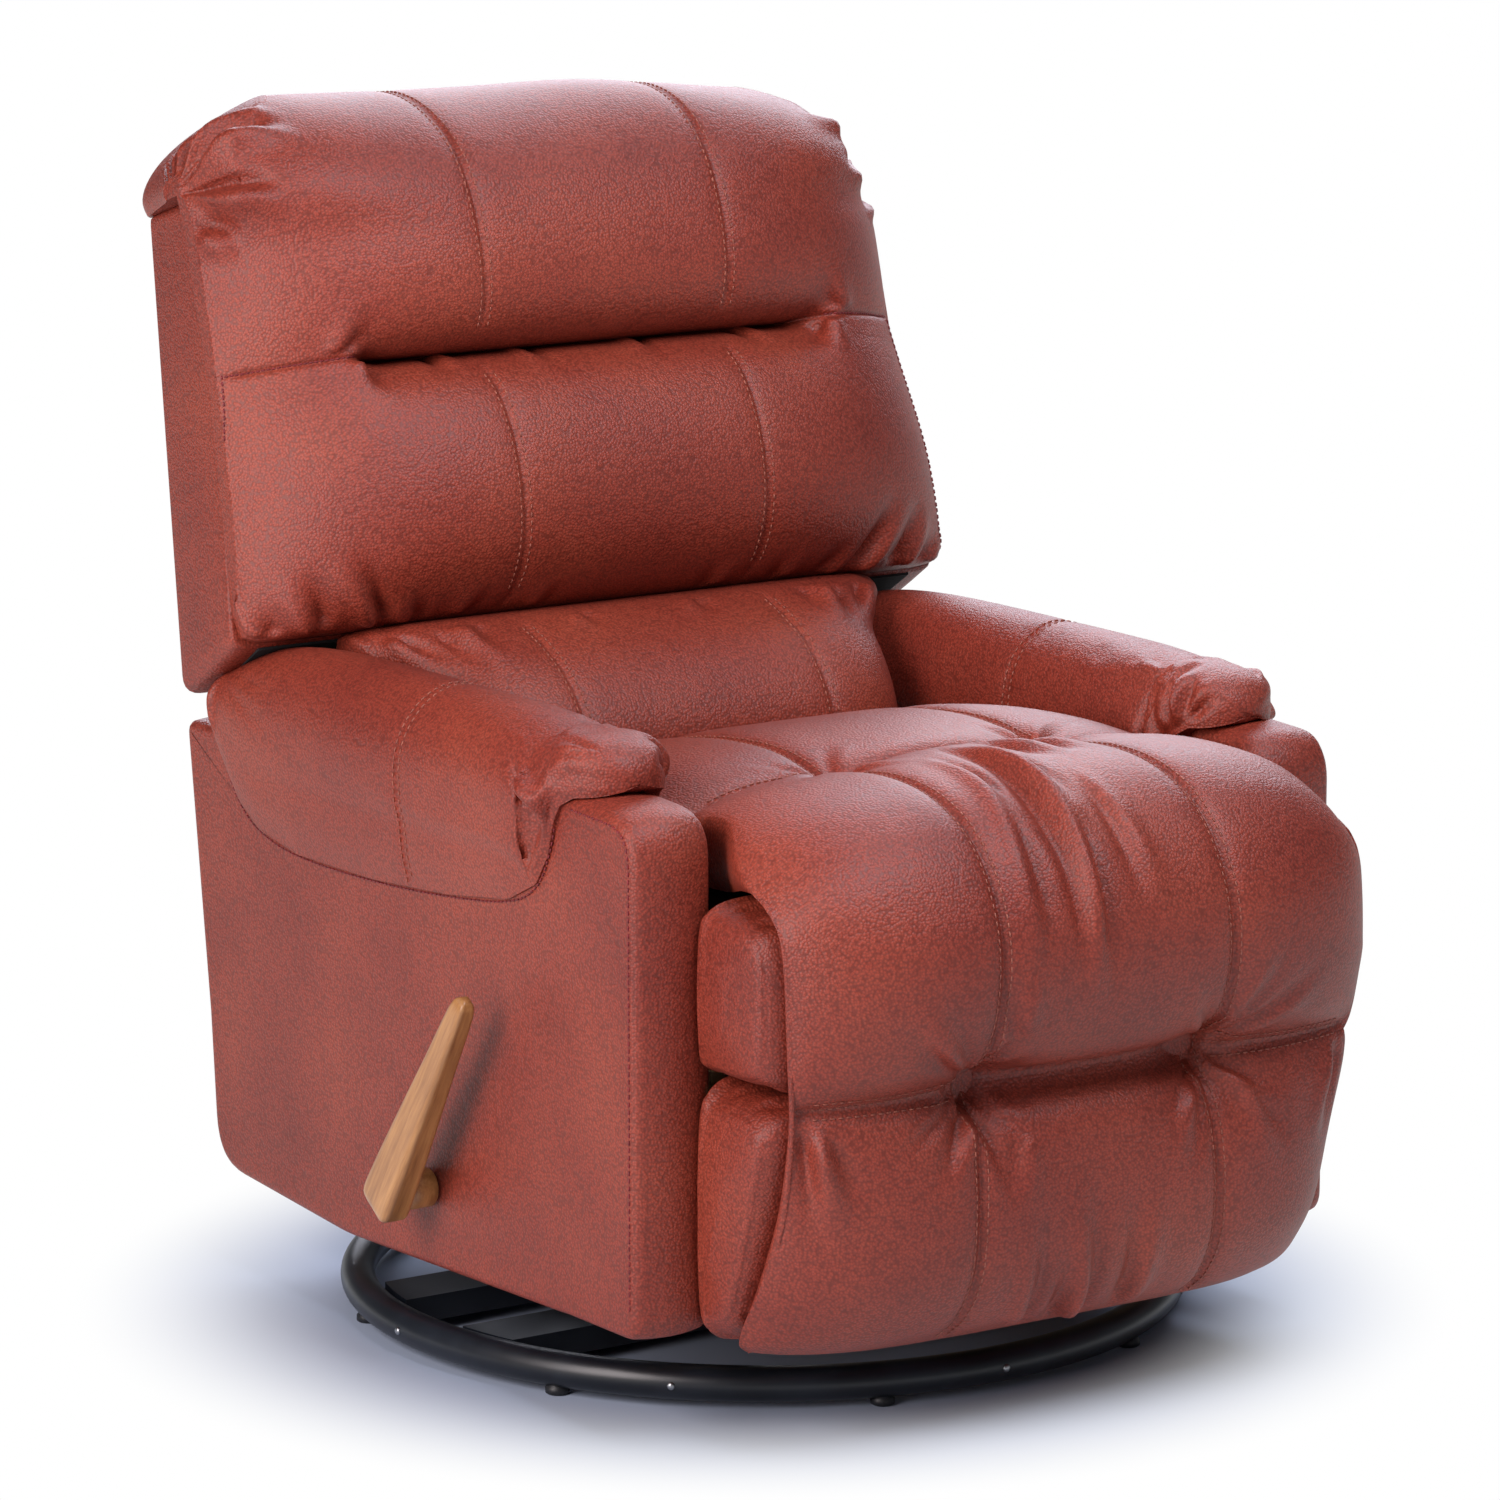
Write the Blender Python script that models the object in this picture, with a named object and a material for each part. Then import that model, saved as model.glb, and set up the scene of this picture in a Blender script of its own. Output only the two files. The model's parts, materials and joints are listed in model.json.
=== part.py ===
"""Swivel glider recliner: ring base, glide linkage, arms, seat, reclining back, lever and chaise footrest.

The chair faces -Y and the sitter's right is at -X. All sizes are in metres.
Every builder below works about the chair's own mid-plane; solid() moves the result into the shared frame.
"""
import math

import bmesh
import bpy

for old in list(bpy.data.objects):
    bpy.data.objects.remove(old, do_unlink=True)

# Driving sizes: fits
GAP = 0.0003            # sitting gap between fixed pieces
RUN = 0.00010           # extra radius of a hole over its pin, facets included

# Driving sizes: ring base and swivel
RING_R = 0.350          # centre line of the tube ring
RING_TUBE = 0.015       # tube radius
FOOT_H = 0.0065         # glides under the ring
FOOT_R = 0.010
FOOT_TURN = 27.5        # angle of the first glide, degrees
BAR_Y = 0.075           # crossbar centre lines
BAR_W = 0.058
BAR_H = 0.022
SHEET = 0.004           # stamped steel thickness
RACE_H = 0.012
RACE_IN, RACE_OUT = 0.055, 0.085
KING_R = 0.008

# Driving sizes: glide linkage
GLIDE_X = 0.150         # outer face of the glider brackets
GLIDE_Y = 0.165         # link pivots before and behind the swivel axis
GLIDE_TOP = 0.187       # upper pivot height
LINK_LEN = 0.110
STUD_R = 0.006
LINK_W = 0.026

# Driving sizes: arms
ARM_IN, ARM_OUT = 0.288, 0.350
ARM_FRONT, ARM_REAR = -0.342, 0.366
ARM_LOW = 0.082
POST_TOP = 0.518        # front post
POST_REAR = -0.222
REAR_POST_TOP = 0.476
REAR_POST_FRONT = 0.328
LEDGE = 0.412           # arm top under the arm pad
WALL = 0.010            # upholstered wall of the arm cover
PLY = 0.018
PAD_IN, PAD_OUT = 0.251, 0.362
PAD_NOSE = -0.285       # the pad's front end, lying on the post
PAD_CROWN = 0.567

# Driving sizes: seat and mechanism
TRACK_Z = 0.2150        # underside of the seat track
TRACK_IN = 0.2600
PLATE_X = 0.2540        # inner face of the mechanism plates
RAIL_IN, RAIL_OUT = 0.216, 0.240
RAIL_LOW, RAIL_TOP = 0.235, 0.288
RAIL_FRONT, RAIL_REAR = -0.285, 0.178
WIRE = 0.0022
SEAT_HALF = 0.246
FRONT_HALF = 0.282      # the seat spreads in front of the arms

# Driving sizes: back
TILT = 16.6             # degrees from upright
BACK_Y, BACK_Z = 0.356, 0.500       # lower rear corner of the outer back
BACK_LEN = 0.412
BACK_DRAWN = 0.412      # length that the rolls and rails are drawn for; they stretch with BACK_LEN
BACK_DEPTH = 0.100
BACK_LOW_HALF, BACK_TOP_HALF = 0.366, 0.330
BACK_WALL = 0.010
LUMBAR_HALF = 0.243     # between the arm pads

# Driving sizes: pivots (y, z)
BACK_PIVOT = (0.262, 0.290)
KNEE = (-0.4750, 0.4950)            # footrest turns about the leather fold at the seat's front edge
LINK_SEAT = (-0.215, 0.415)         # swing link pivot on the mechanism plate
LINK_FOOT = (-0.305, 0.310)         # tie pivot on the footrest bracket
LEVER = (-0.030, 0.152)

# Driving sizes: footrest and lever
EAR_HALF = 0.284
EAR_REAR, EAR_FRONT = -0.345, -0.4455
EAR_LOW, EAR_SPLIT, EAR_TOP = 0.090, 0.3015, 0.445
EAR_TUCK = 0.055        # how far the lower ear draws back towards its foot
BOARD = 0.012
BOARD_HALF = 0.262
LEVER_OUT = 0.404       # outermost face of the handle
LEVER_TIP = (-0.156, 0.342)
SHAFT_R = 0.008

MID_X = (LEVER_OUT - BACK_LOW_HALF) / 2    # centres the outer box on the origin
MID_Y = 0.0104

# Colours as linear red, green, blue with metallic and roughness
LEATHER = ((0.235, 0.055, 0.042), 0.0, 0.45)
PINE = ((0.55, 0.38, 0.20), 0.0, 0.7)
OAK = ((0.40, 0.21, 0.07), 0.0, 0.4)
BLACK = ((0.008, 0.009, 0.012), 0.6, 0.4)
ZINC = ((0.42, 0.43, 0.44), 0.9, 0.35)
NYLON = ((0.02, 0.02, 0.02), 0.0, 0.6)

bodies = {}


def body(name, parent=None, at=(0.0, 0.0, 0.0)):
    """An empty on the joint's axis that the body's pieces hang from."""
    empty = bpy.data.objects.new(name + "_axis", None)
    empty.empty_display_size = 0.03
    empty.location = (at[0] + MID_X, at[1] + MID_Y, at[2])
    bpy.context.scene.collection.objects.link(empty)
    bodies[name] = (empty, empty.location.copy())
    if parent:
        empty.parent = bodies[parent][0]
        empty.location = bodies[name][1] - bodies[parent][1]
    return name


def solid(name, shape, colour, group):
    """One named piece from (vertices, faces), hung from its body's empty, with its own material."""
    verts, faces = shape
    empty, at = bodies[group]
    mesh = bpy.data.meshes.new(name)
    mesh.from_pydata([(x + MID_X - at.x, y + MID_Y - at.y, z - at.z) for x, y, z in verts], [], faces)
    outward(mesh)
    obj = bpy.data.objects.new(name, mesh)
    bpy.context.scene.collection.objects.link(obj)
    obj.parent = empty
    rgb, metal, rough = colour
    material = bpy.data.materials.new(name + "_finish")
    material.use_nodes = True
    shader = material.node_tree.nodes["Principled BSDF"]
    shader.inputs["Base Color"].default_value = (*rgb, 1.0)
    shader.inputs["Metallic"].default_value = metal
    shader.inputs["Roughness"].default_value = rough
    mesh.materials.append(material)
    return obj


def outward(mesh):
    bm = bmesh.new()
    bm.from_mesh(mesh)
    bmesh.ops.recalc_face_normals(bm, faces=bm.faces)
    bm.to_mesh(mesh)
    bm.free()


def change(obj, shape, mode="DIFFERENCE"):
    """Cuts a shape out of a piece, or joins it on with mode UNION."""
    verts, faces = shape
    mesh = bpy.data.meshes.new("tool")
    mesh.from_pydata([(x + MID_X, y + MID_Y, z) for x, y, z in verts], [], faces)
    outward(mesh)
    tool = bpy.data.objects.new("tool", mesh)
    tool.hide_render = True
    tool.display_type = "WIRE"
    bpy.context.scene.collection.objects.link(tool)
    step = obj.modifiers.new("step", "BOOLEAN")
    step.operation = mode
    step.solver = "EXACT"
    step.object = tool
    done = bpy.data.meshes.new_from_object(obj.evaluated_get(bpy.context.evaluated_depsgraph_get()))
    obj.modifiers.remove(step)
    obj.data = done
    bpy.data.objects.remove(tool, do_unlink=True)
    return obj


def prism(outline, axis, low, high):
    """An outline drawn across an axis and pushed along it: (y, z) for x, (x, z) for y, (x, y) for z."""
    order = {"x": (2, 0, 1), "y": (0, 2, 1), "z": (0, 1, 2)}[axis]

    def place(*abc):
        return tuple(abc[i] for i in order)

    n = len(outline)
    verts = [place(a, b, low) for a, b in outline] + [place(a, b, high) for a, b in outline]
    sides = [(i, (i + 1) % n, n + (i + 1) % n, n + i) for i in range(n)]
    return verts, [tuple(range(n)), tuple(range(2 * n - 1, n - 1, -1))] + sides


def box(x, y, z):
    return prism([(x[0], y[0]), (x[1], y[0]), (x[1], y[1]), (x[0], y[1])], "z", z[0], z[1])


def circle(centre, radius, steps=20):
    turn = 2 * math.pi / steps
    a, b = centre
    return [(a + radius * math.cos(i * turn), b + radius * math.sin(i * turn)) for i in range(steps)]


def rod(axis, centre, radius, low, high, steps=20):
    return prism(circle(centre, radius, steps), axis, low, high)


def rounded(points, radius, steps=4):
    """Corners of an outline replaced by arcs; a corner given as (a, b, r) has its own radius."""
    out = []
    n = len(points)
    for i in range(n):
        here, last, after = points[i], points[i - 1], points[(i + 1) % n]
        r = here[2] if len(here) > 2 else radius
        back = (last[0] - here[0], last[1] - here[1])
        front = (after[0] - here[0], after[1] - here[1])
        la, lb = math.hypot(*back), math.hypot(*front)
        cosine = (back[0] * front[0] + back[1] * front[1]) / (la * lb)
        half = math.acos(max(-1.0, min(1.0, cosine))) / 2
        reach = min(r / math.tan(half), 0.45 * la, 0.45 * lb)
        if reach < 1e-5 or half > 1.56:
            out.append(here[:2])
            continue
        start = (here[0] + back[0] / la * reach, here[1] + back[1] / la * reach)
        end = (here[0] + front[0] / lb * reach, here[1] + front[1] / lb * reach)
        for k in range(steps + 1):
            t = k / steps
            out.append(tuple((1 - t) ** 2 * start[j] + 2 * t * (1 - t) * here[j] + t * t * end[j]
                             for j in (0, 1)))
    return out


def slot(a, b, radius, steps=8):
    """A strap outline with round ends about two pivots."""
    turn = math.atan2(b[1] - a[1], b[0] - a[0])
    ends = []
    for centre, start in ((b, turn - math.pi / 2), (a, turn + math.pi / 2)):
        for k in range(steps + 1):
            angle = start + math.pi * k / steps
            ends.append((centre[0] + radius * math.cos(angle), centre[1] + radius * math.sin(angle)))
    return ends


def spin(profile, steps=48):
    """A closed (radius, z) profile turned about the swivel axis; points at radius 0 become poles."""
    verts, rows = [], []
    for r, z in profile:
        if r < 1e-9:
            rows.append([len(verts)] * steps)
            verts.append((0.0, 0.0, z))
        else:
            rows.append(list(range(len(verts), len(verts) + steps)))
            verts += [(r * math.cos(2 * math.pi * i / steps), r * math.sin(2 * math.pi * i / steps), z)
                      for i in range(steps)]
    faces = []
    n = len(profile)
    for j in range(n):
        a, b = rows[j], rows[(j + 1) % n]
        if a[0] == a[1] and b[0] == b[1]:
            continue
        for i in range(steps):
            k = (i + 1) % steps
            ring = [a[i], a[k], b[k], b[i]]
            faces.append(tuple(dict.fromkeys(ring)))
    return verts, faces


def sweep(path, radius, sides, closed=False):
    """A round wire along a level path."""
    n = len(path)
    verts, faces = [], []
    for i, (x, y, z) in enumerate(path):
        a = path[i - 1] if closed or i else path[0]
        b = path[(i + 1) % n] if closed or i < n - 1 else path[-1]
        tx, ty = b[0] - a[0], b[1] - a[1]
        size = math.hypot(tx, ty)
        nx, ny = -ty / size, tx / size
        for k in range(sides):
            angle = 2 * math.pi * k / sides
            out, up = radius * math.cos(angle), radius * math.sin(angle)
            verts.append((x + nx * out, y + ny * out, z + up))
    for i in range(n if closed else n - 1):
        j = (i + 1) % n
        for k in range(sides):
            m = (k + 1) % sides
            faces.append((i * sides + k, j * sides + k, j * sides + m, i * sides + m))
    if not closed:
        faces += [tuple(range(sides)), tuple(range(n * sides - 1, (n - 1) * sides - 1, -1))]
    return verts, faces


def loft(rings, middle=None):
    """A skin over closed rings of equal count, closed at both ends by a fan about a point."""
    n = len(rings[0])
    verts = [p for ring in rings for p in ring]
    faces = []
    for i in range(len(rings) - 1):
        for k in range(n):
            m = (k + 1) % n
            faces.append((i * n + k, i * n + m, (i + 1) * n + m, (i + 1) * n + k))
    for ring, base in ((rings[0], 0), (rings[-1], (len(rings) - 1) * n)):
        pole = len(verts)
        mean = [sum(p[j] for p in ring) / n for j in range(3)]
        verts.append((mean[0], *middle) if middle else tuple(mean))
        faces += [(base + k, base + (k + 1) % n, pole) for k in range(n)]
    return verts, faces


def smooth(points, each):
    """A closed Catmull-Rom curve through the points; one given with a third value stays a corner."""
    out = []
    n = len(points)
    for i in range(n):
        p0, p1, p2, p3 = (points[(i + d) % n] for d in (-1, 0, 1, 2))
        if len(p1) > 2:
            p0 = p1
        if len(p2) > 2:
            p3 = p2
        for k in range(each):
            t = k / each
            out.append(tuple(0.5 * (2 * p1[j] + (p2[j] - p0[j]) * t
                                    + (2 * p0[j] - 5 * p1[j] + 4 * p2[j] - p3[j]) * t * t
                                    + (3 * p1[j] - p0[j] - 3 * p2[j] + p3[j]) * t ** 3) for j in (0, 1)))
    return out


def full(power):
    """Ease for a side that stays full and turns in late."""
    return lambda s: (1 - abs(s) ** power) ** (1 / power)


def swell(power, edge):
    """Ease for a side that rises gradually from a narrow edge."""
    return lambda s: edge + (1 - edge) * (1 - abs(s) ** power)


def pillow(outline, centre, half, rows, ease_a, ease_b, pull=None):
    """A cushion: an outline carried across x and drawn in towards its centre at both ends.

    ease_a and ease_b say how much is kept of the outline's two directions; pull draws in channels and tufts.
    """
    rings = []
    for i in range(rows + 1):
        s = math.sin(math.pi / 2 * (2 * i / rows - 1)) * 0.9995
        keep_a, keep_b = ease_a(s), ease_b(s)
        ring = []
        for a, b in outline:
            k = 1 - (pull(s * half(a, b), a, b) if pull else 0.0)
            a = centre[0] + (a - centre[0]) * k * keep_a
            b = centre[1] + (b - centre[1]) * k * keep_b
            ring.append((s * half(a, b), a, b))
        rings.append(ring)
    return rings


def groove(x, at, width):
    return math.exp(-((abs(x) - at) / width) ** 2)


def both(make):
    """Runs a builder for the sitter's right (-1) and left (+1) side."""
    for side, word in ((-1, "right"), (1, "left")):
        make(side, word)


def span(side, a, b):
    return (side * a, side * b) if side > 0 else (side * b, side * a)


# Bodies, each on its joint's axis
body("base")
body("swivel", "base", (0, 0, 0.05))
body("front_links", "swivel", (0, -GLIDE_Y, GLIDE_TOP))
body("rear_links", "swivel", (0, GLIDE_Y, GLIDE_TOP))
body("chassis", "front_links", (0, -GLIDE_Y, GLIDE_TOP - LINK_LEN))
body("lever", "chassis", (0, *LEVER))
body("seat", "chassis", (0, 0, TRACK_Z))
body("back", "seat", (0, *BACK_PIVOT))
body("footrest", "seat", (0, *KNEE))
body("footrest_links", "seat", (0, *LINK_SEAT))
body("footrest_ties", "footrest", (0, *LINK_FOOT))

# Ring base: tube, glides, two crossbars
ring_z = FOOT_H + RING_TUBE
turns = 60
ring_path = [(x, y, ring_z) for x, y in circle((0, 0), RING_R, turns)]
ring = solid("base_ring", sweep(ring_path, RING_TUBE, 10, True), BLACK, "base")
for i in range(8):
    angle = math.radians(FOOT_TURN + 45 * i)
    spot = (RING_R * math.cos(angle), RING_R * math.sin(angle))
    change(ring, rod("z", spot, FOOT_R, 0.0, FOOT_H + 0.4 * RING_TUBE, 12), "UNION")

reach = (RING_R - RING_TUBE) * math.cos(math.pi / turns) - GAP
bar_low, bar_top = ring_z - BAR_H / 2, ring_z + BAR_H / 2
for sign, word in ((-1, "front"), (1, "rear")):
    rows = [sign * BAR_Y - BAR_W / 2 + BAR_W * k / 6 for k in range(7)]
    ends = [(math.sqrt(reach ** 2 - y * y), y) for y in rows]
    outline = ends + [(-x, y) for x, y in reversed(ends)]
    bar = solid("crossbar_" + word, prism(outline, "z", bar_low, bar_top), BLACK, "base")
    inner = (sign * BAR_Y - BAR_W / 2 + SHEET, sign * BAR_Y + BAR_W / 2 - SHEET)
    change(bar, box((-reach + 0.03, reach - 0.03), inner, (bar_low - 0.01, bar_top - SHEET)))

# Swivel: two plates on a race, held by the king bolt
lower_z = bar_top + GAP
race_z = lower_z + SHEET + GAP
upper_z = race_z + RACE_H + GAP
square = 0.120
corners = [(-square, -square), (square, -square), (square, square), (-square, square)]
sheet = prism(rounded(corners, 0.03), "z", lower_z, lower_z + SHEET)
plate = solid("swivel_lower_plate", sheet, BLACK, "base")
change(plate, rod("z", (0, 0), KING_R + GAP, lower_z - 0.01, lower_z + 0.02))
flat, top = race_z, race_z + RACE_H
race = [(RACE_IN, flat), (RACE_OUT, flat), (RACE_OUT, flat + 0.35 * RACE_H),
        (RACE_OUT - 0.006, flat + 0.4 * RACE_H), (RACE_OUT - 0.006, flat + 0.6 * RACE_H),
        (RACE_OUT, flat + 0.65 * RACE_H), (RACE_OUT, top), (RACE_IN, top)]
solid("swivel_race", spin(race, 32), ZINC, "base")
nut = upper_z + SHEET + GAP
solid("king_bolt", spin([(0, lower_z - GAP - 0.009), (0.014, lower_z - GAP - 0.009), (0.014, lower_z - GAP),
                         (KING_R, lower_z - GAP), (KING_R, nut), (0.014, nut), (0.014, nut + 0.010),
                         (0, nut + 0.010)], 24), ZINC, "base")
wide = GLIDE_X + 0.008
corners = [(-wide, -square), (wide, -square), (wide, square), (-wide, square)]
sheet = prism(rounded(corners, 0.02), "z", upper_z, upper_z + SHEET)
plate = solid("swivel_upper_plate", sheet, BLACK, "swivel")
change(plate, rod("z", (0, 0), KING_R + RUN + 0.0001, upper_z - 0.01, upper_z + 0.02, 48))

# Glide linkage: brackets with studs, hanging links, rails that the chassis is screwed to
foot = upper_z + SHEET + GAP
low_pivot = GLIDE_TOP - LINK_LEN


def glider_bracket(side, word):
    ear = GLIDE_Y + 0.018
    heel = foot + 0.0012
    outline = [(-0.11, heel), (0.11, heel), (ear, GLIDE_TOP - 0.020), (ear, GLIDE_TOP + 0.018),
               (GLIDE_Y - 0.020, GLIDE_TOP + 0.018), (0.085, 0.138), (-0.085, 0.138),
               (-GLIDE_Y + 0.020, GLIDE_TOP + 0.018), (-ear, GLIDE_TOP + 0.018), (-ear, GLIDE_TOP - 0.020)]
    plate = prism(rounded(outline, 0.012), "x", *span(side, GLIDE_X - SHEET, GLIDE_X))
    obj = solid("glider_bracket_" + word, plate, BLACK, "swivel")
    flange = box(span(side, GLIDE_X - 0.030, GLIDE_X - 0.001), (-0.105, 0.105), (foot, foot + SHEET))
    change(obj, flange, "UNION")
    for sign in (-1, 1):
        stud = span(side, GLIDE_X - 0.002, GLIDE_X + 0.0088)
        change(obj, rod("x", (sign * GLIDE_Y, GLIDE_TOP), STUD_R, *stud), "UNION")


def swing_link(side, word, sign, place):
    pivots = (sign * GLIDE_Y, GLIDE_TOP), (sign * GLIDE_Y, low_pivot)
    strap = prism(slot(*pivots, LINK_W / 2), "x", *span(side, GLIDE_X + 0.0015, GLIDE_X + 0.0055))
    obj = solid(f"glide_link_{place}_{word}", strap, ZINC, place + "_links")
    for pivot in pivots:
        change(obj, rod("x", pivot, STUD_R + RUN, *span(side, GLIDE_X - 0.01, GLIDE_X + 0.02)))


RAIL_X = GLIDE_X + 0.010
rail_high = ARM_LOW + 0.0047


def glide_rail(side, word):
    low = low_pivot - 0.016
    outline = [(RAIL_X, low), (RAIL_X + SHEET, low), (RAIL_X + SHEET, rail_high - SHEET),
               (RAIL_X + 0.034, rail_high - SHEET), (RAIL_X + 0.034, rail_high), (RAIL_X, rail_high)]
    rail = prism([(side * x, z) for x, z in outline], "y", -0.246, 0.296)
    obj = solid("glide_rail_" + word, rail, BLACK, "chassis")
    for sign in (-1, 1):
        stud = span(side, GLIDE_X + 0.0008, RAIL_X + 0.002)
        change(obj, rod("x", (sign * GLIDE_Y, low_pivot), STUD_R, *stud), "UNION")


both(glider_bracket)
for sign, place in ((-1, "front"), (1, "rear")):
    both(lambda side, word: swing_link(side, word, sign, place))
both(glide_rail)

# Chassis timber: stretchers between the arm frames
frame_in = ARM_IN + WALL + GAP
stretcher_z = (rail_high + GAP, rail_high + GAP + 0.044)
for y, place in ((-0.242, "front"), (0.262, "rear")):
    beam = box((GAP - frame_in, frame_in - GAP), (y, y + 0.030), stretcher_z)
    solid("stretcher_" + place, beam, PINE, "chassis")

# Arms: a plywood frame inside an upholstered cover with a front and a rear post, and a pad between them
arm_outline = [(ARM_FRONT, ARM_LOW + 0.010, 0.006), (-0.235, ARM_LOW + 0.008), (0.115, ARM_LOW - 0.006),
               (ARM_REAR - 0.055, ARM_LOW + 0.008, 0.045), (ARM_REAR - 0.034, ARM_LOW + 0.143, 0.05),
               (ARM_REAR - 0.004, REAR_POST_TOP - 0.02), (ARM_REAR - 0.002, REAR_POST_TOP, 0.004),
               (REAR_POST_FRONT, REAR_POST_TOP - 0.006, 0.006), (REAR_POST_FRONT, LEDGE, 0.004),
               (POST_REAR, LEDGE, 0.004), (POST_REAR, POST_TOP, 0.020),
               (ARM_FRONT, POST_TOP - 0.010, 0.045)]


def inset(by, low):
    """The arm's side view drawn in by a wall, with its lower edge at a given height."""
    front, rear = ARM_FRONT + by, ARM_REAR - by
    return [(front, low), (rear - 0.085, low), (rear - 0.034, ARM_LOW + 0.16), (rear - 0.006, LEDGE - by),
            (POST_REAR - by, LEDGE - by), (POST_REAR - by, POST_TOP - by), (front + 0.02, POST_TOP - by),
            (front, POST_TOP - by - 0.03)]


def arm(side, word):
    side_view = prism(rounded(arm_outline, 0.02, 5), "x", *span(side, ARM_IN, ARM_OUT))
    cover = solid("arm_cover_" + word, side_view, LEATHER, "chassis")
    hollow = span(side, ARM_IN + WALL, ARM_OUT - WALL)
    change(cover, prism(inset(0.014, ARM_LOW - 0.05), "x", *hollow))
    window = box(span(side, ARM_IN - 0.05, ARM_IN + WALL + 0.002), (ARM_FRONT + 0.045, ARM_REAR - 0.043),
                 (ARM_LOW - 0.05, TRACK_Z + 0.048))
    change(cover, window)
    panel = prism(inset(0.0145, ARM_LOW + 0.012), "x", *span(side, frame_in, frame_in + PLY))
    frame = solid("arm_frame_" + word, panel, PINE, "chassis")
    post = box(span(side, frame_in + PLY - 0.002, ARM_OUT - WALL - GAP),
               (ARM_FRONT + 0.0145, ARM_FRONT + 0.055), (ARM_LOW + 0.02, POST_TOP - 0.06))
    change(frame, post, "UNION")
    if side < 0:
        hole = rod("x", LEVER, 0.0145 + GAP, -ARM_OUT - 0.01, -ARM_IN + 0.01)
        change(cover, hole)
        change(frame, hole)
    solid("arm_pad_" + word, loft(arm_pad(side)), LEATHER, "chassis")


def arm_pad(side):
    """A padded roll carried along y with its ends drawn in; its nose lies on the front post."""
    rear = REAR_POST_FRONT - 0.0015
    reach, start = POST_REAR + 0.0012, POST_REAR + 0.0022
    nose = [PAD_NOSE + (reach - PAD_NOSE) * (1 - math.cos(math.pi / 2 * i / 5)) for i in range(6)]
    trunk = [start + (rear - start) * math.sin(math.pi / 2 * i / 12) for i in range(13)]
    count = 16
    rings = []
    for i, y in enumerate(nose + trunk):
        u = (y - PAD_NOSE) / (rear - PAD_NOSE)
        s = max(-0.9995, min(0.9995, 2 * u - 1))
        keep = (1 - abs(s) ** 9) ** (1 / 9)
        crown = PAD_CROWN - 0.015 * u - 0.040 * u ** 8
        low = (POST_TOP if i < 6 else LEDGE) + GAP
        middle = ((PAD_IN + PAD_OUT) / 2, POST_TOP + 0.010 - 0.050 * u * u)
        ring = []
        for k in range(count):
            angle = 2 * math.pi * k / count
            c, d = math.cos(angle), math.sin(angle)
            x = middle[0] + (PAD_OUT - PAD_IN) / 2 * math.copysign(abs(c) ** 0.75, c) * keep
            if d > 0:
                z = middle[1] + (crown - middle[1]) * d ** 0.75 * keep
            else:
                z = middle[1] - (middle[1] - low) * min(1.0, 1.25 * abs(d) ** 0.75) * keep ** 0.2
            ring.append((side * x, y, z))
        rings.append(ring)
    return rings


both(arm)


def track(side, word):
    high = TRACK_Z + SHEET
    outline = [(TRACK_IN, TRACK_Z), (frame_in - GAP, TRACK_Z), (frame_in - GAP, high + 0.034),
               (frame_in - GAP - SHEET, high + 0.034), (frame_in - GAP - SHEET, high), (TRACK_IN, high)]
    channel = prism([(side * x, z) for x, z in outline], "y", -0.290, 0.215)
    solid("seat_track_" + word, channel, ZINC, "chassis")


both(track)
rear_y = 0.292 + GAP
panel = box((-ARM_IN + 0.001, ARM_IN - 0.001), (rear_y, rear_y + 0.008), (ARM_LOW + 0.012, 0.262))
solid("rear_cover", panel, LEATHER, "chassis")

# Lever: handle, shaft with crank, bush in the arm
bush = solid("lever_bush", rod("x", LEVER, 0.0145, -ARM_OUT + 0.0005, -frame_in + 0.001), NYLON, "chassis")
change(bush, rod("x", LEVER, SHAFT_R + RUN, -ARM_OUT - 0.01, -ARM_IN + 0.01))
hub_in, hub_out = ARM_OUT + 0.002, LEVER_OUT - 0.013
shaft = solid("lever_shaft", rod("x", LEVER, SHAFT_R, -hub_out + 0.006, -ARM_IN - 0.001), ZINC, "lever")
crank = slot(LEVER, (LEVER[0] + 0.014, LEVER[1] + 0.020), 0.011)
change(shaft, prism(crank, "x", -ARM_IN - 0.0075, -ARM_IN - 0.001), "UNION")


def handle():
    """A tapered bar with eased edges, wide and thick at the hub, narrow at the tip."""
    dy, dz = LEVER_TIP[0] - LEVER[0], LEVER_TIP[1] - LEVER[1]
    size = math.hypot(dy, dz)
    dy, dz = dy / size, dz / size
    rings = []
    rows = ((-0.020, 0.5, 0.55), (-0.017, 0.8, 0.85), (-0.010, 1.0, 1.0), (0.06, 0.86, 0.95),
            (size - 0.03, 0.46, 0.66), (size - 0.010, 0.38, 0.58), (size - 0.003, 0.30, 0.46),
            (size, 0.17, 0.26))
    for s, wide, thick in rows:
        w, t = 0.021 * wide, 0.013 * thick
        section = rounded([(-w, -t), (w, -t), (w, t), (-w, t)], 0.35 * t, 2)
        mid = -LEVER_OUT + 0.013
        rings.append([(mid + b, LEVER[0] + dy * s + dz * a, LEVER[1] + dz * s - dy * a)
                      for a, b in section])
    return rings


grip = solid("lever_handle", loft(handle()), OAK, "lever")
change(grip, rod("x", LEVER, 0.0165, -LEVER_OUT + 0.012, -hub_in), "UNION")
change(grip, rod("x", LEVER, SHAFT_R + GAP, -hub_out + 0.006 - GAP, -ARM_IN))

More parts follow.
